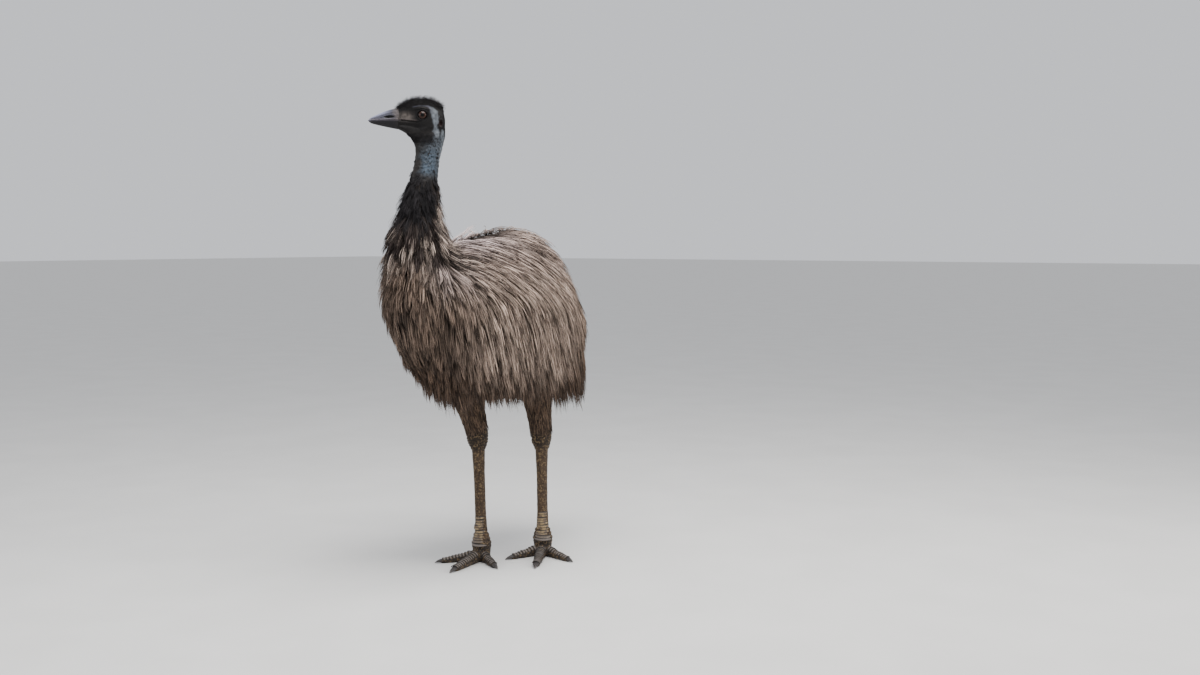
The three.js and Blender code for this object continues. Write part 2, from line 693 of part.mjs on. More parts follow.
function buildLeg(name, leg, bodyCutter) {
  const hockPoint = vector(leg.hock);
  const footTop = foot.profile[foot.profile.length - 1][0];
  const down = (height) => {
    const share = (height - leg.foot[2]) / (leg.hock[2] - leg.foot[2]);
    return [mix(leg.foot[0], leg.hock[0], share), mix(leg.foot[1], leg.hock[1], share), height];
  };
  const tarsusTop = leg.hock[2] - hock.below;
  const tarsusRadius = (share) => mix(tarsus.bottom, tarsus.middle, smooth(share / 0.3))
    + (tarsus.top - tarsus.middle) * smooth((share - 0.6) / 0.4);
  const tarsusSquash = [tarsus.flare, tarsus.depth];
  const tarsusBody = column(down(footTop - 8), down(tarsusTop), tarsusRadius, 12, 5, tarsusSquash);
  nodes.set('tarsus_' + name, { body: tarsusBody.trimByPlane([0, 0, 1], footTop + gap), finish: 'scale' });

  const towardsKnee = vector(leg.knee).sub(hockPoint).normalize();
  const hockTop = hockPoint.clone().addScaledVector(towardsKnee, hock.above);
  const bend = new THREE.QuadraticBezierCurve3(vector(down(tarsusTop + gap)), hockPoint, hockTop);
  const hockBody = bent(bend, (share) => along(hock.radius, share), 14, 7, [0.92, 1.1]);
  nodes.set('hock_' + name, { body: hockBody, finish: 'scale' });

  const shankBody = shankColumn(leg, 0);
  const cut = largest(shankBody.subtract(bodyCutter));
  nodes.set('shank_' + name, { body: cut, finish: 'legFeather' });

  const foreFoot = footBody(leg, 0);
  nodes.set('foot_' + name, { body: foreFoot, finish: 'scale' });
  const footCutter = footBody(leg, gap + 0.1);
  let taken = footCutter;
  for (const [toeName, toe] of Object.entries(toes)) {
    const own = aboveFloor(toeBody(leg, toe, 0, 0.05, 1));
    const body = largest(own.subtract(taken));
    nodes.set(`toe_${toeName}_${name}`, { body, finish: 'scale' });
    taken = joined([taken, toeBody(leg, toe, gap + 0.1, 0.03, 1.02)]);
    nodes.set(`claw_${toeName}_${name}`, { body: aboveFloor(clawBody(leg, toe)), finish: 'claw' });
  }
}

// Trunk, rump and neck

function build() {
  const flesh = joined([trunkBody(), neckBody()]);
  const aboveBase = beyond(flesh, seams.neckBase);
  const neckFlesh = largest(before(aboveBase, seams.skullBase));
  const lowerNeck = largest(before(neckFlesh, seams.midNeck));
  const underJaw = throatBody();
  const upperNeck = joined([largest(beyond(neckFlesh, seams.midNeck)), before(underJaw, seams.skullBase)]);
  const skullNeck = largest(beyond(neckBody(), seams.skullBase));
  const trunkFlesh = largest(before(flesh, seams.neckBase));
  const mainTrunk = largest(before(trunkFlesh, seams.rump));
  const rumpFlesh = largest(beyond(trunkFlesh, seams.rump));

  buildHead(skullNeck, beyond(underJaw, seams.skullBase));

  const throatRoots = neckRoots(plumage.throat, 1236, 1300);
  const throatLocks = lockPatch(throatRoots, plumage.throat, neckLie, null, random, 3);
  const collarRoots = neckRoots(plumage.collar, 1016, 1204);
  const collarLocks = lockPatch(collarRoots, plumage.collar, neckLie, null, random);
  const trunkLocks = lockPatch(trunkRoots(plumage.trunk, onTrunk), plumage.trunk, lie, clearOfLegs, random);
  const rumpRoots = trunkRoots(plumage.rump, ({ upward }) => upward > -0.9);
  const rumpLocks = lockPatch(rumpRoots, plumage.rump, lie, clearOfLegs, random);

  // Each patch is cut clear of the patch above it, which lies over its roots, and of the shanks
  const bodies = (locks) => joined(locks.map((lock) => lock.body));
  const cutters = (locks) => joined(locks.map((lock) => lock.cutter()));
  const shanks = joined(Object.values(legs).map((leg) => shankColumn(leg, gap + 0.1)));
  const throat = joined([upperNeck, bodies(throatLocks)]);
  const collar = joined([lowerNeck, before(bodies(collarLocks), seams.midNeck)])
    .subtract(cutters(throatLocks));
  const mantle = joined([mainTrunk, before(bodies(trunkLocks), seams.neckBase).subtract(shanks)])
    .subtract(cutters(collarLocks));
  const tail = joined([rumpFlesh, beyond(bodies(rumpLocks), seams.rump).subtract(shanks)])
    .subtract(cutters(trunkLocks));

  nodes.set('neck_upper', { body: largest(throat), finish: 'neckFeather' });
  nodes.set('neck_lower', { body: largest(collar), finish: 'collar' });
  nodes.set('torso', { body: largest(mantle), finish: 'plumage' });
  nodes.set('tail', { body: largest(tail), finish: 'plumage' });

  for (const [name, leg] of Object.entries(legs)) buildLeg(name, leg, trunkBody(gap));
}

build();

const finishes = {
  headSkin: { color: 0x2b2927, roughness: 0.85 },
  horn: { color: 0x3a3a3e, roughness: 0.45 },
  eye: { color: 0x3b1d10, roughness: 0.08 },
  neckFeather: { color: 0x1d1b1b, roughness: 0.9 },
  collar: { color: 0x5b4a3a, roughness: 0.95 },
  plumage: { color: 0x72604c, roughness: 0.95 },
  legFeather: { color: 0x5a4a38, roughness: 0.92 },
  scale: { color: 0x544638, roughness: 0.75 },
  claw: { color: 0x2d2a28, roughness: 0.5 },
};

function meshOf(name, { body, finish }) {
  const mesh = body.getMesh();
  const geometry = new THREE.BufferGeometry()
    .setAttribute('position', new THREE.BufferAttribute(Float32Array.from(mesh.vertProperties), 3))
    .setIndex(new THREE.BufferAttribute(Uint32Array.from(mesh.triVerts), 1));
  geometry.computeVertexNormals();
  const material = new THREE.MeshStandardMaterial({ ...finishes[finish], metalness: 0 });
  const made = new THREE.Mesh(geometry, material);
  made.name = name;
  return made;
}

const emu = new THREE.Group();
for (const [name, node] of nodes) emu.add(meshOf(name, node));

// The bird is moved so that the floor point under the middle of its box is the origin
const box = new THREE.Box3().setFromObject(emu);
emu.position.set(-(box.min.x + box.max.x) / 2, -(box.min.y + box.max.y) / 2, -box.min.z);

export default emu;
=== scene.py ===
import math

import bpy
import numpy as np
from mathutils import Euler, Matrix, Vector


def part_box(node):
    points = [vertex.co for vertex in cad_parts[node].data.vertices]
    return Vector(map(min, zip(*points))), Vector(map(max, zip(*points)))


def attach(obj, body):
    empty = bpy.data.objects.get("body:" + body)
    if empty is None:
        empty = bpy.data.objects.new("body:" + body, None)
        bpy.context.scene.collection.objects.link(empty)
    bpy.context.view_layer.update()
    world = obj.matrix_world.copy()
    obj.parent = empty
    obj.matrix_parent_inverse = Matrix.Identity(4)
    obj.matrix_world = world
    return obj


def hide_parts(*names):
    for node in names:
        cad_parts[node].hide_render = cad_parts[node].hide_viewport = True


# A life-size emu for display. All shapes are worked out in mm from the point between the feet,
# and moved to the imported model's own origin when a mesh is made.
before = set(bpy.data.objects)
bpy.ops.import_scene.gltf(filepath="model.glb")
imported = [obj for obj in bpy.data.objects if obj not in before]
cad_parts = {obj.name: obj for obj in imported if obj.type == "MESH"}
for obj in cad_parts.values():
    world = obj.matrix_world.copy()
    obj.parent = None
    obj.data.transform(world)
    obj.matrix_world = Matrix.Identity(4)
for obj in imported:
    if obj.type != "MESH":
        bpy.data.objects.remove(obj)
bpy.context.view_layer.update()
draw = np.random.default_rng(20417)
print("stage: frame loaded,", len(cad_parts), "nodes")


# Number helpers

def mix(a, b, share):
    return a + (b - a) * share


def smooth(value):
    u = np.clip(value, 0, 1)
    return u * u * (3 - 2 * u)


def ramp(value, start, width):  # 0 up to start, 1 from start + width on
    return smooth((value - start) / width)


def bell(*offsets):  # 1 in the middle, fading out round it
    return np.exp(-sum(offset**2 for offset in offsets))


def unit(v):
    return v / np.maximum(np.linalg.norm(v, axis=-1, keepdims=True), 1e-9)


def along(stations, place):
    knots, values = np.array(stations, float).T
    place = np.clip(np.asarray(place, float), knots[0], knots[-1])
    i = np.clip(np.searchsorted(knots, place, side="right") - 1, 0, len(knots) - 2)
    rise = np.r_[values[1:], values[-1]] - np.r_[values[0], values[:-1]]
    slopes = rise / (np.r_[knots[1:], knots[-1]] - np.r_[knots[0], knots[:-1]])
    width = knots[i + 1] - knots[i]
    u = (place - knots[i]) / width
    return ((2 * u**3 - 3 * u**2 + 1) * values[i] + (u**3 - 2 * u**2 + u) * width * slopes[i]
            + (3 * u**2 - 2 * u**3) * values[i + 1] + (u**3 - u**2) * width * slopes[i + 1])


def tint(red, green, blue):  # screen colour, 0 to 255, as the shaders want it
    c = np.array([red, green, blue]) / 255
    return np.where(c <= 0.04045, c / 12.92, ((c + 0.055) / 1.055) ** 2.4)


scramble = {"offset": 7.31, "cell": np.array([73856093, 19349663, 83492791]), "seed": 668265263,
            "factor": 1274126177, "bits": 0xFFFFFFFF, "levels": 65535}


def mottle(p, size, seed):  # smooth random patches, 0 to 1, about `size` mm across
    q = p / size + seed * scramble["offset"]
    cell = np.floor(q).astype(np.int64)
    part = smooth(q - cell)
    total = np.zeros(len(p))
    for corner in range(8):
        step = np.array([corner & 1, corner >> 1 & 1, corner >> 2 & 1])
        key = ((cell + step) @ scramble["cell"] + seed * scramble["seed"]) & scramble["bits"]
        key = ((key ^ (key >> 13)) * scramble["factor"]) & scramble["bits"]
        value = ((key ^ (key >> 16)) & scramble["levels"]) / scramble["levels"]
        total += value * np.prod(np.where(step, part, 1 - part), axis=1)
    return total


# The flesh, with the same sizes as the solids

trunk = {
    "middleY": -112,
    "halfLength": 428,
    "centreZ": [[-1, 885], [-0.6, 866], [0, 838], [0.6, 792], [1, 742]],
    "halfWidth": [[-1, 182], [-0.6, 192], [0, 200], [0.5, 194], [1, 172]],
    "above": [[-1, 150], [-0.6, 190], [0, 252], [0.4, 293], [0.7, 280], [1, 224]],
    "narrowing": 0.36,
    "below": [[-1, 290], [-0.6, 284], [0, 244], [0.5, 217], [1, 178]],
    "inset": 5,
}
neck = {
    "bottomZ": 880,
    "topZ": 1418,
    "middleY": [[880, -395], [960, -428], [1048, -452], [1120, -447], [1187, -436], [1254, -421],
                [1300, -409], [1339, -400], [1418, -396]],
    "radius": [[880, 106], [960, 98], [1048, 79], [1120, 63], [1187, 51], [1254, 41.5],
               [1300, 37.5], [1339, 40], [1384, 48.5], [1418, 47]],
    "side": [[1187, 0.92], [1300, 0.9], [1339, 0.82], [1384, 0.68], [1418, 0.66]],
    "turnFrom": 1180,
    "turnTo": 1340,
}
headHeading = math.radians(-47)
neckBase = (np.array([0, -465, 980.0]), unit(np.array([0, -0.4, 0.917])))
fleshBlend = 60


def trunkReach(p):
    station = (p[:, 1] - trunk["middleY"]) / trunk["halfLength"]
    rise = p[:, 2] - along(trunk["centreZ"], station)
    high = np.where(rise > 0, along(trunk["above"], station), along(trunk["below"], station))
    shoulder = 1 - trunk["narrowing"] * np.clip(rise / high, 0, 1) ** 1.5
    across = p[:, 0] / (along(trunk["halfWidth"], station) * shoulder)
    return np.sqrt(across**2 + (rise / high) ** 2 + station**2)


def trunkField(p):
    here = trunkReach(p)
    slope = np.stack([trunkReach(p + step) - here for step in np.eye(3)], axis=1)
    steepness = np.maximum(np.linalg.norm(slope, axis=1), 1e-6)
    return (here - 1) / steepness, slope / steepness[:, None]


def ringTurn(height):  # the neck's oval section turns with the head, the higher up the more
    return headHeading * smooth((height - neck["turnFrom"]) / (neck["turnTo"] - neck["turnFrom"]))


def neckField(p):
    height = np.clip(p[:, 2], neck["bottomZ"], neck["topZ"])
    c, s = np.cos(ringTurn(height)), np.sin(ringTurn(height))
    x, y = p[:, 0], p[:, 1] - along(neck["middleY"], height)
    out = np.stack([(x * c + y * s) / along(neck["side"], height), y * c - x * s, p[:, 2] - height], axis=1)
    reach = np.maximum(np.linalg.norm(out, axis=1), 1e-6)
    way = out / reach[:, None]
    turned = np.stack([way[:, 0] * c - way[:, 1] * s, way[:, 0] * s + way[:, 1] * c, way[:, 2]], axis=1)
    return reach - along(neck["radius"], height), turned


def neckPoint(angle, height, grow=0):  # on the neck's own oval, angle 0 at its back
    radius = along(neck["radius"], height) + grow
    x, y = np.sin(angle) * radius * along(neck["side"], height), np.cos(angle) * radius
    c, s = np.cos(ringTurn(height)), np.sin(ringTurn(height))
    return np.stack([x * c - y * s, along(neck["middleY"], height) + x * s + y * c,
                     np.broadcast_to(height, x.shape)], -1)


def fleshField(p):  # how far from the skin, and which way the skin faces
    trunkGap, trunkWay = trunkField(p)
    neckGap, neckWay = neckField(p)
    share = np.clip(0.5 + (neckGap - trunkGap) / (2 * fleshBlend), 0, 1)
    gap = mix(neckGap, trunkGap, share) - fleshBlend * share * (1 - share)
    return gap, unit(mix(neckWay, trunkWay, share[:, None]))


def ontoFlesh(p, grow=0):
    for turn in range(4):
        gap, way = fleshField(p)
        p = p + way * (grow - gap)[:, None]
    return p


def trunkPoint(x, station, z):
    high = np.where(z > 0, along(trunk["above"], station), along(trunk["below"], station))
    return np.stack([x * along(trunk["halfWidth"], station),
                     trunk["middleY"] + station * trunk["halfLength"],
                     along(trunk["centreZ"], station) + z * high], axis=-1)


# The head's own frame: along the bill, up, and out to the left

head = {
    "pivot": np.array([0, -397, 1441.5]),
    "tilt": math.radians(1.2),
    "rear": -48,
    "front": 99,
    "top": [[-48, -8], [-43, 15], [-32, 30], [-12, 42.5], [20, 47], [50, 44.5], [72, 37], [92, 22]],
    "bottom": [[-48, -30], [-42, -52], [-30, -66], [-10, -68], [20, -54], [46, -46], [70, -45],
               [92, -43.5]],
    "halfWidth": [[-48, 18], [-42, 26], [-30, 31], [-10, 35], [20, 34.5], [46, 29], [68, 24.5], [92, 21]],
}
throat = {
    "halfWidth": [[-20, 30], [20, 28], [50, 24], [75, 21], [91, 19]],
    "top": [[-20, -18], [91, -28]],
    "bottom": [[-20, -94], [28, -93], [42, -83], [51, -70], [62, -59.5], [75, -50.5], [91, -43]],
}
eye = {"along": 20, "up": 0, "out": 25.5, "radius": 15.5, "flat": 0.72, "iris": 12.4, "pupil": 5.2}
lid = {"half": (16.9, 15.4), "thick": 2.1, "swell": (0.8, 1.25), "out": 6.9, "curve": 0.008}
ear = {"along": -35, "up": -23, "half": (4.6, 8), "depth": 6, "rim": 1.2}
brow = {"middle": (22, 18, 21), "half": (25, 9, 12)}
bill = {
    "from": 84,
    "tip": 183,
    "culmen": [[84, 26], [92, 21.6], [112, 16], [140, 5.5], [160, -4], [175, -11.5], [183, -18]],
    "gapeLine": [[30, -21], [60, -18], [92, -15.5], [140, -16.5], [183, -19]],
    "chin": [[84, -43], [92, -43.1], [112, -40], [140, -35], [162, -30.5], [175, -26.5], [183, -20]],
    "halfWidth": [[84, 21.5], [92, 20.7], [112, 19], [140, 16], [162, 12.5], [175, 8.5], [183, 2.5]],
    "mouthGap": 0.9,
    "nostril": (119, -7.5, 14.5, 3.4),
}
headTurn = np.array(Matrix.Rotation(headHeading, 3, "Z") @ Matrix.Rotation(-head["tilt"], 3, "X"))


def fromHead(forward, up, out):
    local = np.stack(np.broadcast_arrays(out, -np.asarray(forward, float), up), axis=-1).astype(float)
    return local @ headTurn.T + head["pivot"]


def toHead(p):
    local = (p - head["pivot"]) @ headTurn
    return -local[..., 1], local[..., 2], local[..., 0]


eyeLow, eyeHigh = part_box("eye_left")
origin = (np.array(eyeLow) + np.array(eyeHigh)) / 2 - fromHead(eye["along"], eye["up"], eye["out"]) / 1000


# Meshes from arrays

def placed(name, data):
    made = bpy.data.objects.new(name, data)
    bpy.context.scene.collection.objects.link(made)
    return made


def pieceFrom(name, points, faces):  # points in mm, faces all triangles or all quads
    mesh = bpy.data.meshes.new(name)
    mesh.vertices.add(len(points))
    mesh.vertices.foreach_set("co", (points / 1000 + origin).astype(np.float32).ravel())
    mesh.loops.add(faces.size)
    mesh.loops.foreach_set("vertex_index", faces.astype(np.int32).ravel())
    mesh.polygons.add(len(faces))
    mesh.polygons.foreach_set("loop_start", np.arange(0, faces.size, faces.shape[1], dtype=np.int32))
    mesh.polygons.foreach_set("use_smooth", np.ones(len(faces), bool))
    mesh.update(calc_edges=True)
    mesh.validate()
    return placed(name, mesh)


def solved(thing):  # a plain mesh of an object with its modifiers done
    return bpy.data.meshes.new_from_object(thing.evaluated_get(bpy.context.evaluated_depsgraph_get()))


def fetch(items, field, width, kind):
    values = np.empty(len(items) * width, kind)
    items.foreach_get(field, values)
    return values


def carry(piece, name, values):  # a value for each point, read by the material
    values = np.asarray(values, np.float32)
    colour = values.ndim == 2
    layer = piece.data.attributes.new(name, "FLOAT_COLOR" if colour else "FLOAT", "POINT")
    if colour:
        values = np.concatenate([values, np.ones((len(values), 1), np.float32)], axis=1)
    layer.data.foreach_set("color" if colour else "value", np.ascontiguousarray(values).ravel())


def tube(rings):  # closed body from rings of points, each end closed on its middle
    slices, around = rings.shape[:2]
    points = np.concatenate([rings.reshape(-1, 3), [rings[0].mean(0)], [rings[-1].mean(0)]])
    i, j = np.meshgrid(np.arange(slices - 1), np.arange(around), indexing="ij")
    j2 = (j + 1) % around
    a, b, c, d = i * around + j, i * around + j2, (i + 1) * around + j2, (i + 1) * around + j
    ring = np.arange(around)
    turned = (ring + 1) % around
    first, last = len(points) - 2, len(points) - 1
    end = (slices - 1) * around
    faces = np.concatenate([
        np.stack([a, b, c], -1).reshape(-1, 3), np.stack([a, c, d], -1).reshape(-1, 3),
        np.stack([turned, ring, np.full(around, first)], -1),
        np.stack([ring + end, turned + end, np.full(around, last)], -1)])
    corners = points[faces]
    volume = np.einsum("ij,ij->i", corners[:, 0], np.cross(corners[:, 1], corners[:, 2])).sum()
    return points, faces if volume > 0 else faces[:, ::-1]


def together(shells):
    points, faces, start = [], [], 0
    for shellPoints, shellFaces in shells:
        points.append(shellPoints)
        faces.append(shellFaces + start)
        start += len(shellPoints)
    return np.concatenate(points), np.concatenate(faces)


easing = (0.5, -0.52)  # in each round points draw together and then back out, which keeps the form's size


def summed(index, values, count):  # rows of values added up by point
    return np.stack([np.bincount(index, values[:, k], count) for k in range(3)], 1)


def fused(shells, voxel, rounds):  # one closed surface round overlapping shells, eased where they meet
    rough = pieceFrom("rough", *together(shells))
    remesh = rough.modifiers.new("fuse", "REMESH")
    remesh.mode = "VOXEL"
    remesh.voxel_size = voxel / 1000
    made = solved(rough)
    p = (fetch(made.vertices, "co", 3, np.float32).reshape(-1, 3).astype(float) - origin) * 1000
    quads = fetch(made.loops, "vertex_index", 1, np.int32).reshape(-1, 4)
    a, b = fetch(made.edges, "vertices", 2, np.int32).reshape(-1, 2).T
    count = np.bincount(np.r_[a, b], minlength=len(p))[:, None]
    for turn in range(rounds):
        for pull in easing:
            p = p + (summed(np.r_[a, b], np.r_[p[b], p[a]], len(p)) / count - p) * pull
    bpy.data.objects.remove(rough)
    bpy.data.meshes.remove(made)
    return p, quads


def faceWays(p, quads):  # each face's outward way, as long as twice its area
    return np.cross(p[quads[:, 2]] - p[quads[:, 0]], p[quads[:, 3]] - p[quads[:, 1]])


def pointNormals(p, quads):
    return unit(summed(quads.ravel(), np.repeat(faceWays(p, quads), 4, axis=0), len(p)))


def circle(count):
    turn = np.linspace(0, 2 * np.pi, count, endpoint=False)
    return np.cos(turn), np.sin(turn)


# Legs: knee, hock and foot of each, and the sizes that they share

legs = {
    "right": {"side": -1, "knee": np.array([-78, -168, 640.0]), "hock": np.array([-68, -98, 428.0]),
              "foot": np.array([-72, -78, 60.0]), "heading": 10},
    "left": {"side": 1, "knee": np.array([59, 43, 640.0]), "hock": np.array([50, 93, 414.0]),
             "foot": np.array([48, 101, 60.0]), "heading": 30},
}
shank = {"from": 0.4, "oval": (0.95, 1.08), "clearFrom": (-0.5, 0.3), "clearTo": 1.12,
         "radius": [[0, 66], [0.4, 47], [0.6, 39.5], [0.85, 34], [1, 33]]}
hock = {"above": 34, "below": 50, "oval": (0.92, 1.1),
        "radius": [[0, 24], [0.25, 33], [0.5, 35.5], [0.75, 34.5], [1, 32.5]]}
tarsus = {"top": 22.5, "middle": 18.8, "bottom": 22, "oval": (0.86, 1.12), "from": 70.0, "underHock": 30}
foot = {"oval": (1.03, 0.96), "setBack": 2,
        "radius": [[0, 20.5], [5, 26], [22, 28.5], [44, 30.5], [60, 32], [72, 28.5], [92, 23.5]]}
toes = {
    "middle": {"length": 176, "turn": 0, "rootHalf": 18, "tipHalf": 12.5, "rootHigh": 50, "tipHigh": 19,
               "claw": 30},
    "outer": {"length": 138, "turn": 46, "rootHalf": 15.5, "tipHalf": 10.5, "rootHigh": 44, "tipHigh": 16,
              "claw": 22},
    "inner": {"length": 124, "turn": -50, "rootHalf": 16, "tipHalf": 11, "rootHigh": 44, "tipHigh": 17,
              "claw": 26},
}
toeForm = {"knuckle": 0.06, "slope": 0.72, "buried": 2.5, "tipFrom": 0.9, "tipLength": 0.13, "blunt": 0.12}


def overShanks(p, clearance):  # moves feathers clear of the upper legs
    for leg in legs.values():
        axis = leg["hock"] - leg["knee"]
        share = ((p - leg["knee"]) @ axis) / (axis @ axis)
        out = p - (leg["knee"] + share[:, None] * axis)
        reach = np.linalg.norm(out, axis=1)
        push = np.maximum(0, along(shank["radius"], share) + clearance - reach)
        push = np.where(share > shank["clearTo"], 0, push) * ramp(share, *shank["clearFrom"])
        p = p + out / np.maximum(reach, 1e-6)[:, None] * push[:, None]
    return p


def downLeg(leg, height):
    low, high = leg["foot"], leg["hock"]
    return mix(low, high, (height - low[2]) / (high[2] - low[2]))


def facing(degrees):  # a level direction, 0 straight ahead of the bird
    turn = math.radians(degrees)
    return np.array([math.sin(turn), -math.cos(turn), 0])


def column(path, radius, oval, around=28):
    ahead = unit(np.gradient(path, axis=0))
    side = unit(np.array([1.0, 0, 0]) - ahead * ahead[:, :1])
    front = np.cross(ahead, side)
    c, s = circle(around)
    return tube(path[:, None] + side[:, None] * (c[None, :, None] * radius[:, None, None] * oval[0])
                + front[:, None] * (s[None, :, None] * radius[:, None, None] * oval[1]))


def toeLine(leg, toe, share):  # middle, half width and half height along a toe, and where it points
    forward = facing(leg["heading"] + leg["side"] * toe["turn"])
    knuckles = 1 + toeForm["knuckle"] * np.cos(share * np.pi * 6)
    half = mix(toe["rootHalf"], toe["tipHalf"], share) * knuckles
    high = mix(toe["rootHigh"], toe["tipHigh"], share**toeForm["slope"]) * (0.5 + 0.5 * knuckles)
    high = high + toeForm["buried"]
    middle = leg["foot"] * [1, 1, 0] + forward * (share * toe["length"])[:, None]
    middle[:, 2] = high / 2 - toeForm["buried"]
    return middle, half, high / 2, forward


def toeShell(leg, toe):
    share = np.linspace(0.02, 1.02, 30)
    middle, half, high, forward = toeLine(leg, toe, share)
    side = np.array([forward[1], -forward[0], 0])
    nearTip = ((share - toeForm["tipFrom"]) / toeForm["tipLength"]).clip(0, 1)
    blunt = np.sqrt(np.clip(1 - nearTip**2, toeForm["blunt"], 1))
    c, s = circle(24)
    return tube(middle[:, None] + side * (c[None, :, None] * (half * blunt)[:, None, None])
                + np.array([0, 0, 1.0]) * (s[None, :, None] * (high * blunt)[:, None, None]))


def footShell(leg):
    top = foot["radius"][-1][0]
    height = np.linspace(0, top, 14)
    turn = math.radians(leg["heading"])
    radius = along(foot["radius"], height)[:, None]
    centre = mix(leg["foot"][None, :2], downLeg(leg, top)[None, :2], (height / top)[:, None])
    c, s = circle(28)
    x = c[None] * radius * foot["oval"][0]
    y = s[None] * radius * foot["oval"][1] + (foot["setBack"] * (1 - height / top))[:, None]
    return tube(np.stack([centre[:, :1] + x * math.cos(turn) - y * math.sin(turn),
                          centre[:, 1:] + x * math.sin(turn) + y * math.cos(turn),
                          np.broadcast_to(height[:, None], x.shape)], -1))


def legShells(leg):
    knee, ankle = leg["knee"], leg["hock"]
    share = np.linspace(shank["from"], 1, 16)
    shells = [column(mix(knee, ankle, share[:, None]), along(shank["radius"], share), shank["oval"])]
    low = downLeg(leg, ankle[2] - hock["below"])
    high = ankle + unit(knee - ankle) * hock["above"]
    bend = np.linspace(0, 1, 18)[:, None]
    shells.append(column((1 - bend) ** 2 * low + 2 * bend * (1 - bend) * ankle + bend**2 * high,
                         along(hock["radius"], bend[:, 0]), hock["oval"]))
    share = np.linspace(0, 1, 24)
    line = mix(downLeg(leg, tarsus["from"]), downLeg(leg, ankle[2] - tarsus["underHock"]), share[:, None])
    radius = (mix(tarsus["bottom"], tarsus["middle"], smooth(share / 0.3))
              + (tarsus["top"] - tarsus["middle"]) * ramp(share, 0.6, 0.4))
    shells.append(column(line, radius, tarsus["oval"]))
    shells.append(footShell(leg))
    return shells + [toeShell(leg, toe) for toe in toes.values()]


# Head and neck shells

def superRing(place, halfWidth, top, bottom, count=56):  # boxy ovals, as heights and half widths
    c, s = circle(count)
    boxy = 1 / (np.abs(c) ** 2.3 + np.abs(s) ** 2.3) ** (1 / 2.3)
    high = (along(top, place) - along(bottom, place))[:, None] / 2
    middle = (along(top, place) + along(bottom, place))[:, None] / 2
    return middle + high * c * boxy, along(halfWidth, place)[:, None] * s * boxy


def skullShell():
    place = np.linspace(head["rear"], head["front"], 70)
    up, out = superRing(place, head["halfWidth"], head["top"], head["bottom"])
    sunk = 1 - 0.2 * ramp(place, head["front"] - 9, 9)[:, None]  # its front edge dips under the bill
    middle = up.mean(1, keepdims=True)
    return tube(fromHead(place[:, None], middle + (up - middle) * sunk, out * sunk))


def browShell(side):
    turn = np.linspace(0.02, np.pi - 0.02, 15)[:, None]
    c, s = circle(24)
    (forward, up, out), (long, high, wide) = brow["middle"], brow["half"]
    return tube(fromHead(forward + long * np.cos(turn), up + high * np.sin(turn) * c,
                         side * out + wide * np.sin(turn) * s))


def neckShell(low, high, inset):
    angle = np.linspace(0, 2 * np.pi, 40, endpoint=False)
    return tube(neckPoint(angle[None], np.linspace(low, high, 30)[:, None], -inset))


def throatShell():
    place = np.linspace(throat["top"][0][0], throat["top"][-1][0], 30)
    up, out = superRing(place, throat["halfWidth"], throat["top"], throat["bottom"], 40)
    return tube(fromHead(place[:, None], up, out))


def trunkShell():
    slices, around = 40, 48
    turn = np.linspace(0.03, np.pi - 0.03, slices)[:, None]
    c, s = circle(around)
    start = trunkPoint(np.sin(turn) * s, -np.cos(turn) + 0 * s, np.sin(turn) * c).reshape(-1, 3)
    buried = neckField(start)[0] < -30
    moved = np.where(buried[:, None], start, ontoFlesh(start, -trunk["inset"]))
    return tube(moved.reshape(slices, around, 3))


def lidShell(side):  # a thick ring of skin that hugs the eyeball
    around, across = 64, 14
    c, s = circle(across)
    turn = np.linspace(0, 2 * np.pi, around, endpoint=False)[:, None]
    upper = smooth(np.sin(turn) * 0.5 + 0.5)
    thick = lid["thick"] * mix(*lid["swell"], upper)
    f, u = lid["half"][0] * np.cos(turn), lid["half"][1] * np.sin(turn)
    out = eye["out"] + lid["out"] - lid["curve"] * f**2 + 0.8 * upper + thick * s * 0.9
    rings = fromHead(eye["along"] + f + thick * c * np.cos(turn), eye["up"] + u + thick * c * np.sin(turn),
                     side * out)
    i, j = np.meshgrid(np.arange(around), np.arange(across), indexing="ij")
    i2, j2 = (i + 1) % around, (j + 1) % across
    quads = np.stack([i, i2, i2, i], -1) * across + np.stack([j, j, j2, j2], -1)
    quads = quads.reshape(-1, 4)
    return rings.reshape(-1, 3), quads if side < 0 else quads[:, ::-1]


socket = {"radius": 15, "edge": 4, "under": 2.2, "folds": (22, 5), "foldHeight": 0.6}
mounds = {  # middle and half lengths on each side of the head, slope, bend, and how far out
    "brow": {"at": (24, 20), "half": (22, 4.5), "slope": 0, "bend": 0.004, "out": 4.2},
    "lores": {"at": (58, -1), "half": (20, 13), "slope": 0, "bend": 0, "out": -3.2},
    "jaw": {"at": (8, -39), "half": (24, 7), "slope": 0.22, "bend": 0, "out": 2.4},
}
mouthLines = [(-1, 1.9, -3.4), (3, 2.2, 1.3), (-5.6, 2.8, 0.8)]  # above the gape, half height, how far out


def fromEar(forward, up):
    return np.hypot((forward - ear["along"]) / ear["half"][0], (up - ear["up"]) / ear["half"][1])


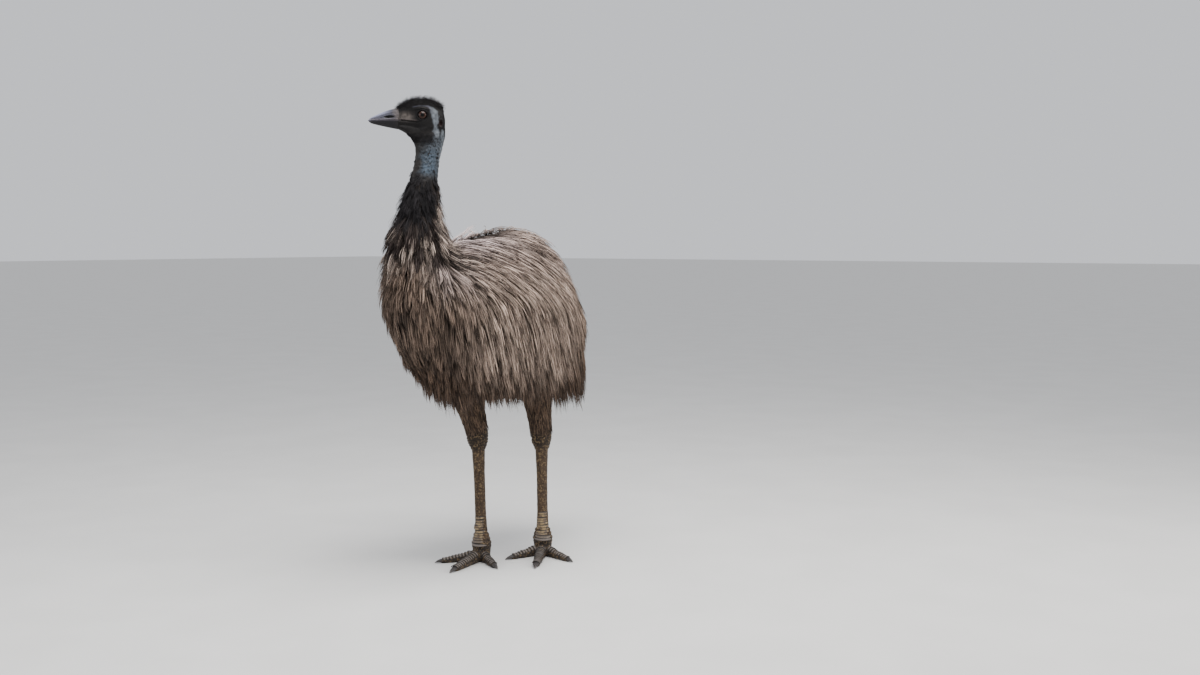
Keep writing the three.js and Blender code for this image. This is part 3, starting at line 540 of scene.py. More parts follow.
def headForms(p):  # eye sockets, brows, ears and mouth, pressed into the eased skull
    forward, up, out = toHead(p)
    side, out = np.sign(out), np.abs(out)
    onSide = ramp(out, 12, 8)
    nearHead = ramp(p[:, 2], 1330, 40) * onSide
    fromEye = np.hypot(forward - eye["along"], (up - eye["up"]) * 1.1)
    dome = np.sqrt(np.clip(1 - (fromEye / eye["radius"]) ** 2, 0, 1))
    ball = eye["out"] + eye["radius"] * eye["flat"] * dome
    inSocket = (1 - ramp(fromEye, socket["radius"], socket["edge"])) * onSide
    out = mix(out, np.minimum(out, ball - socket["under"]), inSocket)
    folds = bell((fromEye - socket["folds"][0]) / socket["folds"][1]) * nearHead
    out = out + folds * (socket["foldHeight"] * np.sin((fromEye - 18) * 2.1) - 0.4)
    for mound in mounds.values():
        ahead, above = forward - mound["at"][0], up - mound["at"][1]
        above = above + mound["slope"] * ahead + mound["bend"] * ahead**2
        out = out + mound["out"] * bell(ahead / mound["half"][0], above / mound["half"][1]) * nearHead
    ring = fromEar(forward, up)
    out = out - ear["depth"] * bell(ring**2) * onSide + ear["rim"] * bell((ring - 1.35) / 0.35) * onSide
    line = up - along(bill["gapeLine"], forward)
    inMouth = ramp(forward, 24, 10) * onSide
    for level, halfHigh, push in mouthLines:
        out = out + push * inMouth * bell((line - level) / halfHigh)
    return mix(p, fromHead(forward, up, side * out), ramp(p[:, 2], 1345, 20)[:, None])


neckSkinForm = {"from": (1215, 30), "to": (1372, 30), "foldStep": 14, "foldHeight": 0.8, "grain": 1.9}


def neckFolds(p, normals):  # slack skin down the bare part of the neck
    height = p[:, 2]
    bare = ramp(height, *neckSkinForm["from"]) * (1 - ramp(height, *neckSkinForm["to"]))
    sway = 26 * mottle(p, 38, 3) + 12 * mottle(p, 15, 5)
    folds = np.sin((height + sway) * 2 * np.pi / neckSkinForm["foldStep"]) * neckSkinForm["foldHeight"]
    folds = folds * mottle(p, 30, 15) + (mottle(p, 7, 8) - 0.5) * neckSkinForm["grain"]
    return p + normals * (folds * bare)[:, None]


legSkinForm = {"hock": (408, 40), "wrinkleStep": 10, "wrinkle": 1.1, "knob": 3, "grain": 0.9,
               "ankle": (40, 12), "ankleTop": (92, 16), "rollStep": 14, "roll": 3.4}


def legForms(p, normals):  # wrinkles and knobs of the hock, rolls of the ankle
    height = p[:, 2]
    onHock = bell((height - legSkinForm["hock"][0]) / legSkinForm["hock"][1])
    wrinkles = np.sin((height + 10 * mottle(p, 30, 4)) * 2 * np.pi / legSkinForm["wrinkleStep"])
    knobs = (mottle(p, 15, 14) - 0.5) * legSkinForm["knob"]
    onAnkle = ramp(height, *legSkinForm["ankle"]) * (1 - ramp(height, *legSkinForm["ankleTop"]))
    rolls = np.abs(np.sin((height + 5 * mottle(p, 24, 9)) * np.pi / legSkinForm["rollStep"])) ** 0.6
    skinny = (mottle(p, 9, 11) - 0.5) * legSkinForm["grain"]
    grow = skinny + (wrinkles * legSkinForm["wrinkle"] + knobs) * onHock
    q = p + normals * (grow + (rolls * legSkinForm["roll"] - 2) * onAnkle)[:, None]
    q[:, 2] = np.maximum(q[:, 2], 0)
    return q


# Markings of skin and coat: one set of colours and places for both

colours = {
    "blackDown": tint(25, 23, 25),
    "facialSkin": tint(29, 27, 27),
    "loreSkin": tint(134, 124, 118),
    "paleBand": tint(156, 164, 174),
    "browLine": tint(112, 112, 128),
    "rearHighlight": tint(138, 146, 154),
    "earSkin": tint(46, 26, 26),
    "slateSkin": tint(94, 102, 112),
    "blueSkin": tint(86, 104, 122),
    "throatSkin": tint(54, 50, 47),
    "hiddenSkin": tint(52, 43, 37),
    "hockSkin": tint(54, 45, 38),
    "tarsusSkin": tint(88, 71, 56),
    "toeSkin": tint(68, 62, 58),
    "scuteFront": tint(150, 128, 92),
    "mouthLine": tint(128, 116, 112),
    "collarLight": tint(158, 144, 134),
    "collarDark": tint(44, 37, 35),
    "paleSpineAndHighlight": tint(182, 168, 168),
    "backBrown": tint(146, 130, 121),
    "flank": tint(150, 133, 121),
    "shoulder": tint(138, 125, 120),
    "breast": tint(98, 83, 72),
    "breastLow": tint(62, 48, 38),
    "rump": tint(132, 113, 98),
    "fringe": tint(72, 57, 46),
    "shankFeather": tint(92, 76, 63),
}
band = {"line": [(50, 23, 0.9), (34, 26.5, 1.2), (16, 27.5, 1.4), (2, 26.5, 2.4), (-9, 18, 6.5),
                 (-16, 8, 10.5), (-19.5, -2, 9.5), (-19.5, -18, 8), (-19, -34, 8), (-22, -56, 8)],
        "napeHighlight": [(-41, -44, 3.5), (-43, -60, 5), (-42, -84, 5.5), (-36, -114, 5), (-30, -150, 3)]}


def onBand(forward, up, line, ragged):  # the pale mark behind the eye, and the painted highlight down the nape
    mask = np.zeros(len(forward))
    for (f0, u0, w0), (f1, u1, w1) in zip(line[:-1], line[1:]):
        share = ((forward - f0) * (f1 - f0) + (up - u0) * (u1 - u0)) / ((f1 - f0) ** 2 + (u1 - u0) ** 2)
        share = np.clip(share, 0, 1)
        reach = np.hypot(forward - mix(f0, f1, share), up - mix(u0, u1, share))
        mask = np.maximum(mask, 1 - smooth((reach / mix(w0, w1, share) + ragged - 0.6) / 0.7))
    return mask


def neckTurn(p):  # degrees from the throat line, which turns with the head higher up
    twist = ringTurn(p[:, 2])
    x, y = p[:, 0], p[:, 1] - along(neck["middleY"], p[:, 2])
    ahead = (x * np.sin(twist) - y * np.cos(twist)) / np.maximum(np.hypot(x, y), 1e-6)
    return np.degrees(np.arccos(np.clip(ahead, -1, 1)))


def paintOver(base, colour, mask):
    return base + (colour - base) * np.clip(mask, 0, 1)[:, None]


skinMarks = {  # where each change starts and how far it takes: heights in mm, turns in degrees
    "bare": (1215, 40), "blue": (1252, 22), "blueTop": (1318, 34), "blueSide": (34, 26),
    "blueRear": (122, 24), "shade": (1300, 30), "throat": (22, 52), "ruff": (1244, 30), "nape": (158, 12),
    "speckleSide": (14, 30), "head": (1366, 30), "band": (1345, 24), "napeHighlight": (1250, 30),
    "leg": (520, 60), "hock": (352, 40), "foot": (52, 40),
}


def neckMarking(height, turned, spots, patches):
    uneven = patches - 0.5
    blue = ramp(height, *skinMarks["blue"]) * (1 - ramp(height, *skinMarks["blueTop"]))
    blue = blue * ramp(turned, *skinMarks["blueSide"]) * (1 - ramp(turned, *skinMarks["blueRear"]))
    shade = bell((turned - 66 - 14 * uneven) / 24) * 0.5 * ramp(height, *skinMarks["shade"])
    colour = paintOver(colours["slateSkin"], colours["blueSkin"], blue * mix(0.55, 1, patches))
    colour = paintOver(colour, colours["throatSkin"], shade)
    colour = paintOver(colour, colours["throatSkin"], 1 - ramp(turned + 44 * uneven, *skinMarks["throat"]))
    colour = paintOver(colour, colours["blackDown"], 1 - ramp(height - 30 * uneven, *skinMarks["ruff"]))
    colour = paintOver(colour, colours["blackDown"], ramp(turned, *skinMarks["nape"]) * 0.9)
    return colour * mix(0.7, 1.15, spots)[:, None]


faceMarks = {"lores": ((72, -5), (24, 14)), "loresFade": (70, 14), "cap": (22, 9), "rear": (33, 7),
             "chin": (40, 14), "eyeRing": (19, 5)}


def faceMarking(forward, up, spots, patches):
    uneven = 8 * (patches - 0.5)
    (ahead, above), (halfLong, halfHigh) = faceMarks["lores"]
    lores = bell(np.hypot((forward - ahead) / halfLong, (up - above) / halfHigh) ** 1.5)
    eyeRing = 1 - ramp(np.hypot(forward - eye["along"], up - eye["up"]), *faceMarks["eyeRing"])
    colour = paintOver(colours["facialSkin"], colours["loreSkin"],
                       lores * mix(0.3, 1.1, spots) * mix(1, 0.7, ramp(forward, *faceMarks["loresFade"])))
    cap = ramp(up + 0.2 * np.abs(forward - 5) + uneven, *faceMarks["cap"])
    colour = paintOver(colour, colours["blackDown"], cap)
    colour = paintOver(colour, colours["blackDown"], ramp(uneven - forward, *faceMarks["rear"]))
    colour = paintOver(colour, colours["throatSkin"], ramp(-up, *faceMarks["chin"]) * 0.5)
    return paintOver(colour, colours["blackDown"], eyeRing * 0.9)


def legMarking(p, spots):
    colour = paintOver(colours["tarsusSkin"], colours["hockSkin"], ramp(p[:, 2], *skinMarks["hock"]))
    colour = paintOver(colour, colours["toeSkin"], 1 - ramp(p[:, 2], *skinMarks["foot"]))
    return colour * mix(0.78, 1.2, mottle(p, 11, 23) * 0.6 + spots * 0.4)[:, None]


skinLight = (0.68, 0.42)  # legs and head: smooth skin takes more light than feathers of the same colour


def skinMarking(p):  # colour, and how scaly and how speckled it is
    forward, up, out = toHead(p)
    height, turned = p[:, 2], neckTurn(p)
    spots, patches = mottle(p, 5, 21), mottle(p, 16, 22)
    bare = ramp(height, *skinMarks["bare"])
    colour = mix(colours["hiddenSkin"], neckMarking(height, turned, spots, patches), bare[:, None])
    onHead = ramp(height + 0.35 * (forward + 20), *skinMarks["head"])
    colour = mix(colour, faceMarking(forward, up, spots, patches), onHead[:, None])
    pale = onBand(forward, up, band["line"], (spots - 0.5) * 1.1 + (patches - 0.5) * 0.8)
    pale = pale * 0.9 * ramp(height, *skinMarks["band"])
    palest = paintOver(colours["browLine"], colours["paleBand"], smooth((2 - forward) / 12))
    colour = mix(colour, palest * mix(0.5, 1.15, spots)[:, None], pale[:, None])
    # a pale strip down the back edge of the neck: painted highlight where light falls on that edge
    napeHighlight = onBand(forward, up, band["napeHighlight"], (spots - 0.5) * 0.8) * (np.abs(out) < 42)
    colour = paintOver(colour, colours["rearHighlight"], napeHighlight * 0.85 * ramp(height, *skinMarks["napeHighlight"]))
    inEar = (1 - ramp(fromEar(forward, up), 1, 0.5)) * (height > 1360)
    colour = paintOver(colour, colours["earSkin"], inEar)
    line = up - along(bill["gapeLine"], forward)
    lips = bell((line - 3) / 1.5) * ramp(forward, 30, 14) * onHead
    colour = paintOver(colour, colours["mouthLine"], lips * 0.8)
    # a dark line along the mouth's gape: painted shade in the crease between the lips
    gap = bell((line + 1) / 1.5) * ramp(forward, 24, 8) * onHead
    colour = paintOver(colour, colours["blackDown"] * 0.5, gap)
    onLeg = 1 - ramp(height, *skinMarks["leg"])
    colour = mix(colour, legMarking(p, spots), onLeg[:, None]) * mix(*skinLight, bare)[:, None]
    return colour, onLeg, bare * (1 - 0.85 * onHead) * ramp(turned, *skinMarks["speckleSide"])


coatMarks = {  # as skinMarks, with places along the trunk from -1 at the breast to 1 at the rump
    "back": (900, 160), "rump": (0.35, 0.5), "front": (-0.84, 0.42), "shoulder": (880, 90),
    "shoulderSide": (36, 44), "breast": (850, 110), "breastSide": (26, 44), "breastLow": (640, 150),
    "fringe": (596, 150), "fringeRear": (0.3, 0.4), "spineHigh": (985, 70), "spineFrom": (-0.72, 0.1),
    "spineTo": (-0.3, 0.5), "notchHigh": (940, 60), "neck": (965, 60), "neckRear": (-345, 45),
    "darkSide": (50, 60), "blackSide": (55, 85), "blackFrom": (1112, 1228),
}


def trunkMarking(p, height, turned, patches, streaks):
    station, uneven = (p[:, 1] - trunk["middleY"]) / trunk["halfLength"], patches - 0.5
    colour = paintOver(colours["flank"], colours["backBrown"], ramp(height, *coatMarks["back"]))
    colour = paintOver(colour, colours["rump"], ramp(station, *coatMarks["rump"]) * 0.9)
    front = 1 - ramp(station, *coatMarks["front"])
    shoulder = ramp(height, *coatMarks["shoulder"]) * ramp(turned, *coatMarks["shoulderSide"])
    colour = paintOver(colour, colours["shoulder"], front * shoulder)
    breast = 1 - ramp(height - 60 * uneven, *coatMarks["breast"]) * ramp(turned, *coatMarks["breastSide"])
    colour = paintOver(colour, colours["breast"], front * breast * 0.9)
    breastLow = 1 - ramp(height, *coatMarks["breastLow"])
    colour = paintOver(colour, colours["breastLow"], front * breastLow * 0.9)
    rear = ramp(station, *coatMarks["fringeRear"])
    low = 1 - ramp(height - 60 * rear - 90 * uneven, *coatMarks["fringe"])
    colour = paintOver(colour, colours["fringe"], low * 0.9)
    colour = colour * mix(0.68, 1.26, smooth(streaks * 1.7 - 0.35))[:, None]
    # a pale strip along the spine: partly pale feathers, partly a painted highlight where the sun falls on
    # the top of the back
    spine = bell((p[:, 0] - 14) / 64) * ramp(height, *coatMarks["spineHigh"])
    spine = spine * ramp(station, *coatMarks["spineFrom"]) * (1 - ramp(station, *coatMarks["spineTo"]))
    colour = paintOver(colour, colours["paleSpineAndHighlight"], spine * mix(0.5, 1, streaks))
    notch = bell((np.abs(p[:, 0]) - 48) / 46, (p[:, 1] + 386) / 36) * ramp(height, *coatMarks["notchHigh"])
    return paintOver(colour, colours["collarDark"], notch * 0.9)


def coatMarking(p):  # for feathers rooted near p, before each one's own variation
    height, turned = p[:, 2], neckTurn(p)
    patches = mottle(p, 70, 1) * 0.5 + mottle(p, 28, 2) * 0.5
    streaks = mottle(p * [1, 1, 0.28], 11, 9)
    onNeck = ramp(height - 90 * (patches - 0.5), *coatMarks["neck"])
    onNeck = onNeck * (1 - ramp(p[:, 1], *coatMarks["neckRear"]))
    inFront = 1 - ramp(turned, *coatMarks["darkSide"])
    dark = smooth((streaks - 0.42) * 5 + 0.5 * inFront - 0.1)
    collar = paintOver(colours["collarLight"], colours["collarDark"], dark)
    colour = mix(trunkMarking(p, height, turned, patches, streaks), collar, onNeck[:, None])
    blackFrom = mix(*coatMarks["blackFrom"], ramp(turned, *coatMarks["blackSide"])) + (streaks - 0.5) * 130
    return paintOver(colour, colours["blackDown"], smooth((height - blackFrom) / 26 + 0.5) * onNeck)


# Skin: one piece for head, neck, trunk and legs

skin = {"headVoxel": 1.9, "headRounds": 5, "bodyVoxel": 14, "bodyRounds": 2, "legVoxel": 3.0,
        "legRounds": 4}

headPoints, headQuads = fused([skullShell(), throatShell(), neckShell(1165, neck["topZ"], 0), browShell(1),
                               browShell(-1)], skin["headVoxel"], skin["headRounds"])
headPoints = headForms(headPoints)
headPoints = neckFolds(headPoints, pointNormals(headPoints, headQuads))
print("stage: head shell", len(headQuads), "quads")

bodyPoints, bodyQuads = fused([trunkShell(), neckShell(900, 1215, 6)], skin["bodyVoxel"],
                              skin["bodyRounds"])
legPoints, legQuads = fused(legShells(legs["left"]) + legShells(legs["right"]), skin["legVoxel"],
                            skin["legRounds"])
legPoints = legForms(legPoints, pointNormals(legPoints, legQuads))
print("stage: body and leg shells", len(bodyQuads), len(legQuads), "quads")

skinPoints, skinQuads = together([(headPoints, headQuads), (bodyPoints, bodyQuads), (legPoints, legQuads),
                                  lidShell(1), lidShell(-1)])
birdSkin = pieceFrom("birdSkin", skinPoints, skinQuads)
for layer, values in zip(("marking", "scaly", "speckle"), skinMarking(skinPoints)):
    carry(birdSkin, layer, values)
print("stage: skin", 2 * len(skinQuads), "triangles")


# Coat: clumps of narrow, three-sided, tapered feathers that lie along the body

feather = {"rings": np.array([0, 0.2, 0.48, 0.78]), "keel": 0.62, "patch": 0.003}
uvEdge = (0.003, 0.997)


def strandFaces(rings):  # triangles of one feather, facing outwards
    sides = ((0, 1), (1, 2), (2, 0))
    faces = [(0, 1, 2)]
    for low in range(0, rings * 3 - 3, 3):
        for a, b in sides:
            faces += [(low + a, low + 3 + a, low + 3 + b), (low + a, low + 3 + b, low + b)]
    last = rings * 3 - 3
    return np.array(faces + [(last + a, last + 3, last + b) for a, b in sides])


def strandMesh(name, rings, centres, sides, normals, width, roll, unwrap, marking, toneAndShade):
    count, stride = len(width), len(rings) * 3 + 1
    points = np.empty((count, stride, 3))
    across, share = np.zeros((2, count, stride))
    for k, t in enumerate(rings):
        half = width[:, None] / 2 * min(0.55 + 1.6 * t, 1.25 * math.sqrt(1 - t))
        angle = roll[:, None] * (0.4 + t)
        side = sides[k] * np.cos(angle) + normals[k] * np.sin(angle)
        up = normals[k] * np.cos(angle) - sides[k] * np.sin(angle)
        points[:, k * 3] = centres[k] - side * half
        points[:, k * 3 + 1] = centres[k] + side * half
        points[:, k * 3 + 2] = centres[k] + up * half * feather["keel"]
        across[:, k * 3], across[:, k * 3 + 1] = -0.5, 0.5
        share[:, k * 3:k * 3 + 3] = t
    points[:, -1], share[:, -1] = centres[-1], 1
    faces = (strandFaces(len(rings)) + np.arange(count)[:, None, None] * stride).reshape(-1, 3)
    piece = pieceFrom(name, points.reshape(-1, 3), faces)
    patch = unwrap[:, None] + np.stack([across, share - 0.5], -1) * feather["patch"]
    layer = piece.data.uv_layers.new(name="OFBake")
    layer.data.foreach_set("uv", patch.reshape(-1, 2)[faces.ravel()].astype(np.float32).ravel())
    carry(piece, "marking", np.repeat(marking, stride, axis=0))
    carry(piece, "share", share.ravel())
    carry(piece, "toneAndShade", np.repeat(toneAndShade, stride))
    print("  coat piece", name, len(faces), "triangles")
    return piece


def alongSkin(way, normal):  # turned out of the skin where it points into it
    into = np.minimum(0, (way * normal).sum(1))
    return unit(way - normal * into[:, None])


def lie(p, normal):  # down, back, and away from the parting on the spine
    onBack = ramp(p[:, 1], -430, 120)
    spread = 0.5 * onBack * np.tanh(p[:, 0] / 12) * smooth(normal[:, 2] + 0.2)
    backward = mix(0.15, mix(0.25, 0.9, smooth(normal[:, 2])), onBack)
    return alongSkin(np.stack([spread, backward, -np.ones(len(p))], 1), normal)


def neckLie(p, normal):  # down, and onto the back behind the neck's foot
    rear = smooth((1120 - p[:, 2]) / 110) * smooth((p[:, 1] - along(neck["middleY"], p[:, 2]) + 10) / 50)
    return alongSkin(np.stack([np.zeros(len(p)), 1.1 * rear, -np.ones(len(p))], 1), normal)


clump = {"steps": 8, "sunk": 3, "clear": 8, "turnIn": 0.6, "swing": 2.6}


def clumpPaths(roots, wayAt, length, lift, slack, sway):  # each clump's middle line, a point for each step
    gap, normal = fleshField(roots)
    p = roots - normal * gap[:, None]
    heading = wayAt(p, normal)
    points, normals = [], []
    for k in range(clump["steps"] + 1):
        share = k / clump["steps"]
        height = mix(-clump["sunk"], lift, math.sin(share * math.pi / 2))
        if k > 0:
            lying = wayAt(p, normal)
            aside = np.cross(normal, lying) * (sway * math.cos(clump["swing"] * share))[:, None]
            heading = unit(mix(heading, unit(lying + aside), clump["turnIn"]))
            p = p + heading * (length / clump["steps"])[:, None]
        gap, normal = fleshField(p)
        p = p + normal * (np.clip(gap, height, height + slack * share) - gap)[:, None]
        if k > 1:
            p = overShanks(p, clump["clear"])
        points.append(p)
        normals.append(normal)
    points = np.stack(points)
    ahead = unit(np.concatenate([points[1:], points[-1:]]) - np.concatenate([points[:1], points[:-1]]))
    sides = unit(np.cross(ahead, np.stack(normals)))
    return points, sides, np.cross(sides, ahead), ahead


def onPath(stack, which, share):
    k = np.clip(share, 0, 1) * (len(stack) - 1)
    low = np.minimum(k.astype(int), len(stack) - 2)
    return mix(stack[low, which], stack[low + 1, which], (k - low)[:, None])


def coatFrom(name, roots, wayAt, length, lift, slack, style, unwrap):
    points, *ways = clumpPaths(roots, wayAt, length, lift, slack, draw.normal(0, style["sway"], len(roots)))
    clumps = len(roots)
    which = np.repeat(np.arange(clumps), style["many"])
    count = len(which)
    spot = draw.uniform(-1, 1, count)
    start = draw.uniform(0, 0.3, count)
    end = mix(0.72, 1.06, draw.random(count) ** 0.7)
    width = mix(*style["width"], draw.random(count))
    half = style["half"] * (length / length.mean())[which]
    wave = draw.normal(0, 1, count)
    phase = draw.uniform(0, 2 * np.pi, count)
    layer = draw.uniform(-1, 0.25, count)
    stray = draw.random(count) < style["stray"]
    depth = np.where(stray, draw.uniform(0.05, style["loose"], count), layer * style["deep"]) * lift[which]
    converge = np.where(stray, -0.3, mix(0.5, 1, draw.random(clumps))[which])
    rootHeight = mix(-clump["sunk"], lift[which], np.sin(start * np.pi / 2)) + 2
    wave = wave * style["wave"]
    centres, ringSides, ringNormals = [], [], []
    for t in [*feather["rings"], 1.0]:
        share = start + (end - start) * t
        side, up, onward = (unit(onPath(stack, which, share)) for stack in ways)
        beyond = np.maximum(share - 1, 0) * length[which]
        aside = spot * half * (1 - converge * share**0.9) + wave * math.sin(t * 3) * np.cos(phase)
        rise = depth * math.sin(t * math.pi / 2) - rootHeight * (1 - t) ** 2
        rise = rise + wave * 0.4 * t * np.sin(phase)
        centres.append(onPath(points, which, share) + side * aside[:, None] + up * rise[:, None]
                       + onward * beyond[:, None])
        ringSides.append(side)
        ringNormals.append(up)
    marking = coatMarking(onPath(points, which, start * 0.5 + 0.3))
    toneAndShade = 0.57 + 0.15 * draw.normal(0, 1, clumps)[which] + 0.17 * draw.normal(0, 1, count)
    # deeper strands painted darker and top strands lighter: painted shade in the gaps between locks and
    # painted light on the top strands, over each clump's and strand's own random tone
    toneAndShade = np.clip(toneAndShade + 0.32 * (layer + 0.3), 0, 1)
    jitter = np.stack([spot * half / 1400, (0.5 - start) * 0.02], 1)
    return strandMesh(name, feather["rings"], centres, ringSides, ringNormals, width,
                      draw.normal(0, 0.5, count), np.clip(unwrap[which] + jitter, *uvEdge), marking, toneAndShade)


trunkCoat = {"spacing": 15.5, "from": 14, "to": 170, "length": (140, 236), "lift": 37, "many": 10,
             "loose": 0.22, "width": (1.8, 4.2), "half": 9.5, "wave": 3.0, "deep": 0.85, "stray": 0.05,
             "sway": 0.3, "flankFrom": -0.42, "rumpFrom": 0.28}


def trunkClumps():  # angle round the trunk and place along it of each clump, in rings
    rows = []
    rings = int(1000 / trunkCoat["spacing"])
    for ring in range(rings):
        meridian = math.radians(mix(trunkCoat["from"], trunkCoat["to"], ring / (rings - 1)))
        station, around = -math.cos(meridian), math.sin(meridian)
        radii = float(along(trunk["halfWidth"], station) + along(trunk["above"], station))
        girth = math.pi * around * radii
        count = max(6, round(girth / trunkCoat["spacing"]))
        angle = (np.arange(count) + 0.5 * (ring % 2) + draw.uniform(-0.45, 0.45, count)) / count * 2 * np.pi
        place = np.clip(station + draw.uniform(-0.02, 0.02, count), -0.985, 0.988)
        rows.append(np.stack([angle, place], 1))
    return np.concatenate(rows)


def past(seam, p):
    return (p - seam[0]) @ seam[1]


def trunkFeathers():
    angle, place = trunkClumps().T
    wide = np.sqrt(1 - place**2)
    roots = trunkPoint(np.sin(angle) * wide, place, np.cos(angle) * wide)
    keep = (neckField(roots)[0] > -24) & (past(neckBase, roots) < 6)
    angle, place, roots = angle[keep], place[keep], roots[keep]
    count, upward, left = len(roots), np.cos(angle), np.sin(angle) > 0
    toRear, toRump, lower = ramp(place, -0.85, 0.5), ramp(place, 0.3, 0.4), smooth((0.15 - upward) / 0.5)
    belly = ramp(-upward, 0.82, 0.12) * (roots[:, 1] > -280)
    scale = mix(0.64, 1, ramp(upward, -0.9, 1.1)) * mix(0.72, 1, toRear) * mix(1, 0.5, belly)
    longer = 1 + 0.24 * lower * toRump - 0.17 * lower * ramp(place, -0.8, 0.2) * (1 - smooth(place / 0.25))
    length = mix(*trunkCoat["length"], draw.random(count)) * scale * longer
    length = length * (1 + 0.22 * lower * draw.random(count) ** 4) * mix(0.74, 1, lower)
    lift = trunkCoat["lift"] * mix(0.72, 1, toRear) * mix(1, 0.86, smooth(upward))
    lift = lift * mix(1, 0.5, ramp(place, 0.2, 0.5)) * mix(0.5, 1.12, draw.random(count))
    lift = lift * (1 - 0.5 * (1 - toRear) * smooth((960 - roots[:, 2]) / 120))
    slack = mix(4, mix(150, 14, smooth(upward + mix(0.4, 0.62, toRump))), toRear)
    unwrap = np.stack([(angle / (2 * np.pi)) % 1, 0.5 + 0.48 * place], 1)
    onRump, onBreast = place >= trunkCoat["rumpFrom"], place < trunkCoat["flankFrom"]
    regions = {"Breast": onBreast, "Flank": ~onBreast & ~onRump, "Rump": onRump}
    masks = {name + side: inside & (left == (side == "Left"))
             for name, inside in regions.items() for side in ("Left", "Right")}
    return [coatFrom("coat" + name, roots[mask], lie, length[mask], lift[mask], slack[mask], trunkCoat,
                     unwrap[mask]) for name, mask in masks.items()]


neckCoat = {
    "length": [[985, 122], [1060, 106], [1140, 88], [1204, 68], [1250, 44], [1275, 20], [1345, 11]],
    "lift": [[985, 27], [1060, 27], [1140, 26], [1204, 17], [1250, 9], [1275, 3.5], [1345, 2]],
    "spacing": [[985, 12.5], [1140, 11.5], [1204, 10], [1300, 8.5], [1345, 8]],
    "slack": 14.0, "deep": 0.85, "bareFrom": 1238, "bareOver": 44,
}
collarStyle = {"from": 985, "to": 1150, "many": 13, "width": (1.8, 3.8), "half": 9, "wave": 3.0,
               "sway": 0.55, "stray": 0.1, "loose": 0.35, "deep": neckCoat["deep"]}
throatStyle = {"from": 1140, "to": 1345, "many": 16, "width": (0.8, 1.8), "half": 8, "wave": 2.4,
               "sway": 0.45, "stray": 0.16, "loose": 0.5, "deep": neckCoat["deep"]}


def neckClumps(low, high):
    found, height = [], low
    while height < high:
        spacing = float(along(neckCoat["spacing"], height))
        count = round(2 * math.pi * float(along(neck["radius"], height)) / spacing)
        angle = (np.arange(count) + draw.uniform(-0.5, 0.5, count)) / count * 2 * np.pi
        found.append(neckPoint(angle, height + draw.uniform(-0.5, 0.5, count) * spacing))
        height += spacing
    return np.concatenate(found)


def neckPiece(name, style, side=0):
    roots = neckClumps(style["from"], style["to"])
    roots = roots[past(neckBase, roots) > -14]
    ragged = 46 * (mottle(roots, 13, 30) - 0.5) - 12 * ramp(neckTurn(roots), 90, 60)
    bare = ramp(roots[:, 2] - ragged, neckCoat["bareFrom"], neckCoat["bareOver"])
    roots = roots[draw.random(len(roots)) > bare * 0.95]
    if side:
        roots = roots[(roots[:, 0] > 0) == (side > 0)]
    height = roots[:, 2]
    length = along(neckCoat["length"], height) * draw.uniform(0.62, 1.16, len(roots))
    lift = along(neckCoat["lift"], height) * draw.uniform(0.3, 1.15, len(roots))
    lift = lift * (1 - 0.6 * ramp(neckTurn(roots), 110, 40) * (1 - ramp(height, 1060, 60)))
    angle = np.arctan2(roots[:, 0], roots[:, 1] - along(neck["middleY"], height))
    unwrap = np.stack([(angle / (2 * np.pi)) % 1, (height - 940) / 440], 1)
    slack = np.full(len(roots), neckCoat["slack"])
    return coatFrom(name, roots, neckLie, length, lift, slack, style, unwrap)


trunkPieces = trunkFeathers()
neckPieces = [neckPiece("coatCollarLeft", collarStyle, 1), neckPiece("coatCollarRight", collarStyle, -1),
              neckPiece("coatThroat", throatStyle)]


# Short bristles of the head, rooted on the skin's own faces

bristle = {"count": 12000, "rings": np.array([0, 0.4, 0.8]), "places": (0, 0.35, 0.7, 1.0), "sunk": 0.6,
           "width": (0.4, 0.85), "crown": (8, 22), "flat": (2.6, 5.6), "chin": (6, 12)}


def bristleRoots(count):
    p, quads = headPoints, headQuads
    middle = p[quads].mean(1)
    way = faceWays(p, quads)
    forward, up = toHead(middle)[:2]
    fromEye = np.hypot(forward - eye["along"], up - eye["up"])
    crown = smooth((up - 26 + 0.2 * np.abs(forward - 20)) / 8) * smooth((forward + 46) / 12)
    chin = ramp(-up, 46, 12) * ramp(forward, -14, 10) * (forward < 80)
    nape = ramp(-forward, 34, 8)
    wanted = np.maximum.reduce([0.75 * crown, 0.8 * chin, 0.7 * nape, 0.3 + 0 * up])
    pale = np.maximum(onBand(forward, up, band["line"], 0), onBand(forward, up, band["napeHighlight"], 0))
    wanted = wanted * (1 - 0.75 * pale) * ramp(fromEye, 18, 4)
    wanted = wanted * (1 - 0.7 * bell((forward - 66) / 20, (up + 8) / 14))
    wanted = wanted * ramp(middle[:, 2], 1352, 20) * (1 - ramp(forward - 0.4 * up, 86, 8))
    chance = np.linalg.norm(way, axis=1) * wanted
    pick = draw.choice(len(quads), count, p=chance / chance.sum())
    corner = p[quads[pick]]
    a, b = draw.random((2, count, 1))
    spot = mix(mix(corner[:, 0], corner[:, 1], a), mix(corner[:, 3], corner[:, 2], a), b)
    return spot, unit(way[pick]), crown[pick], chin[pick]


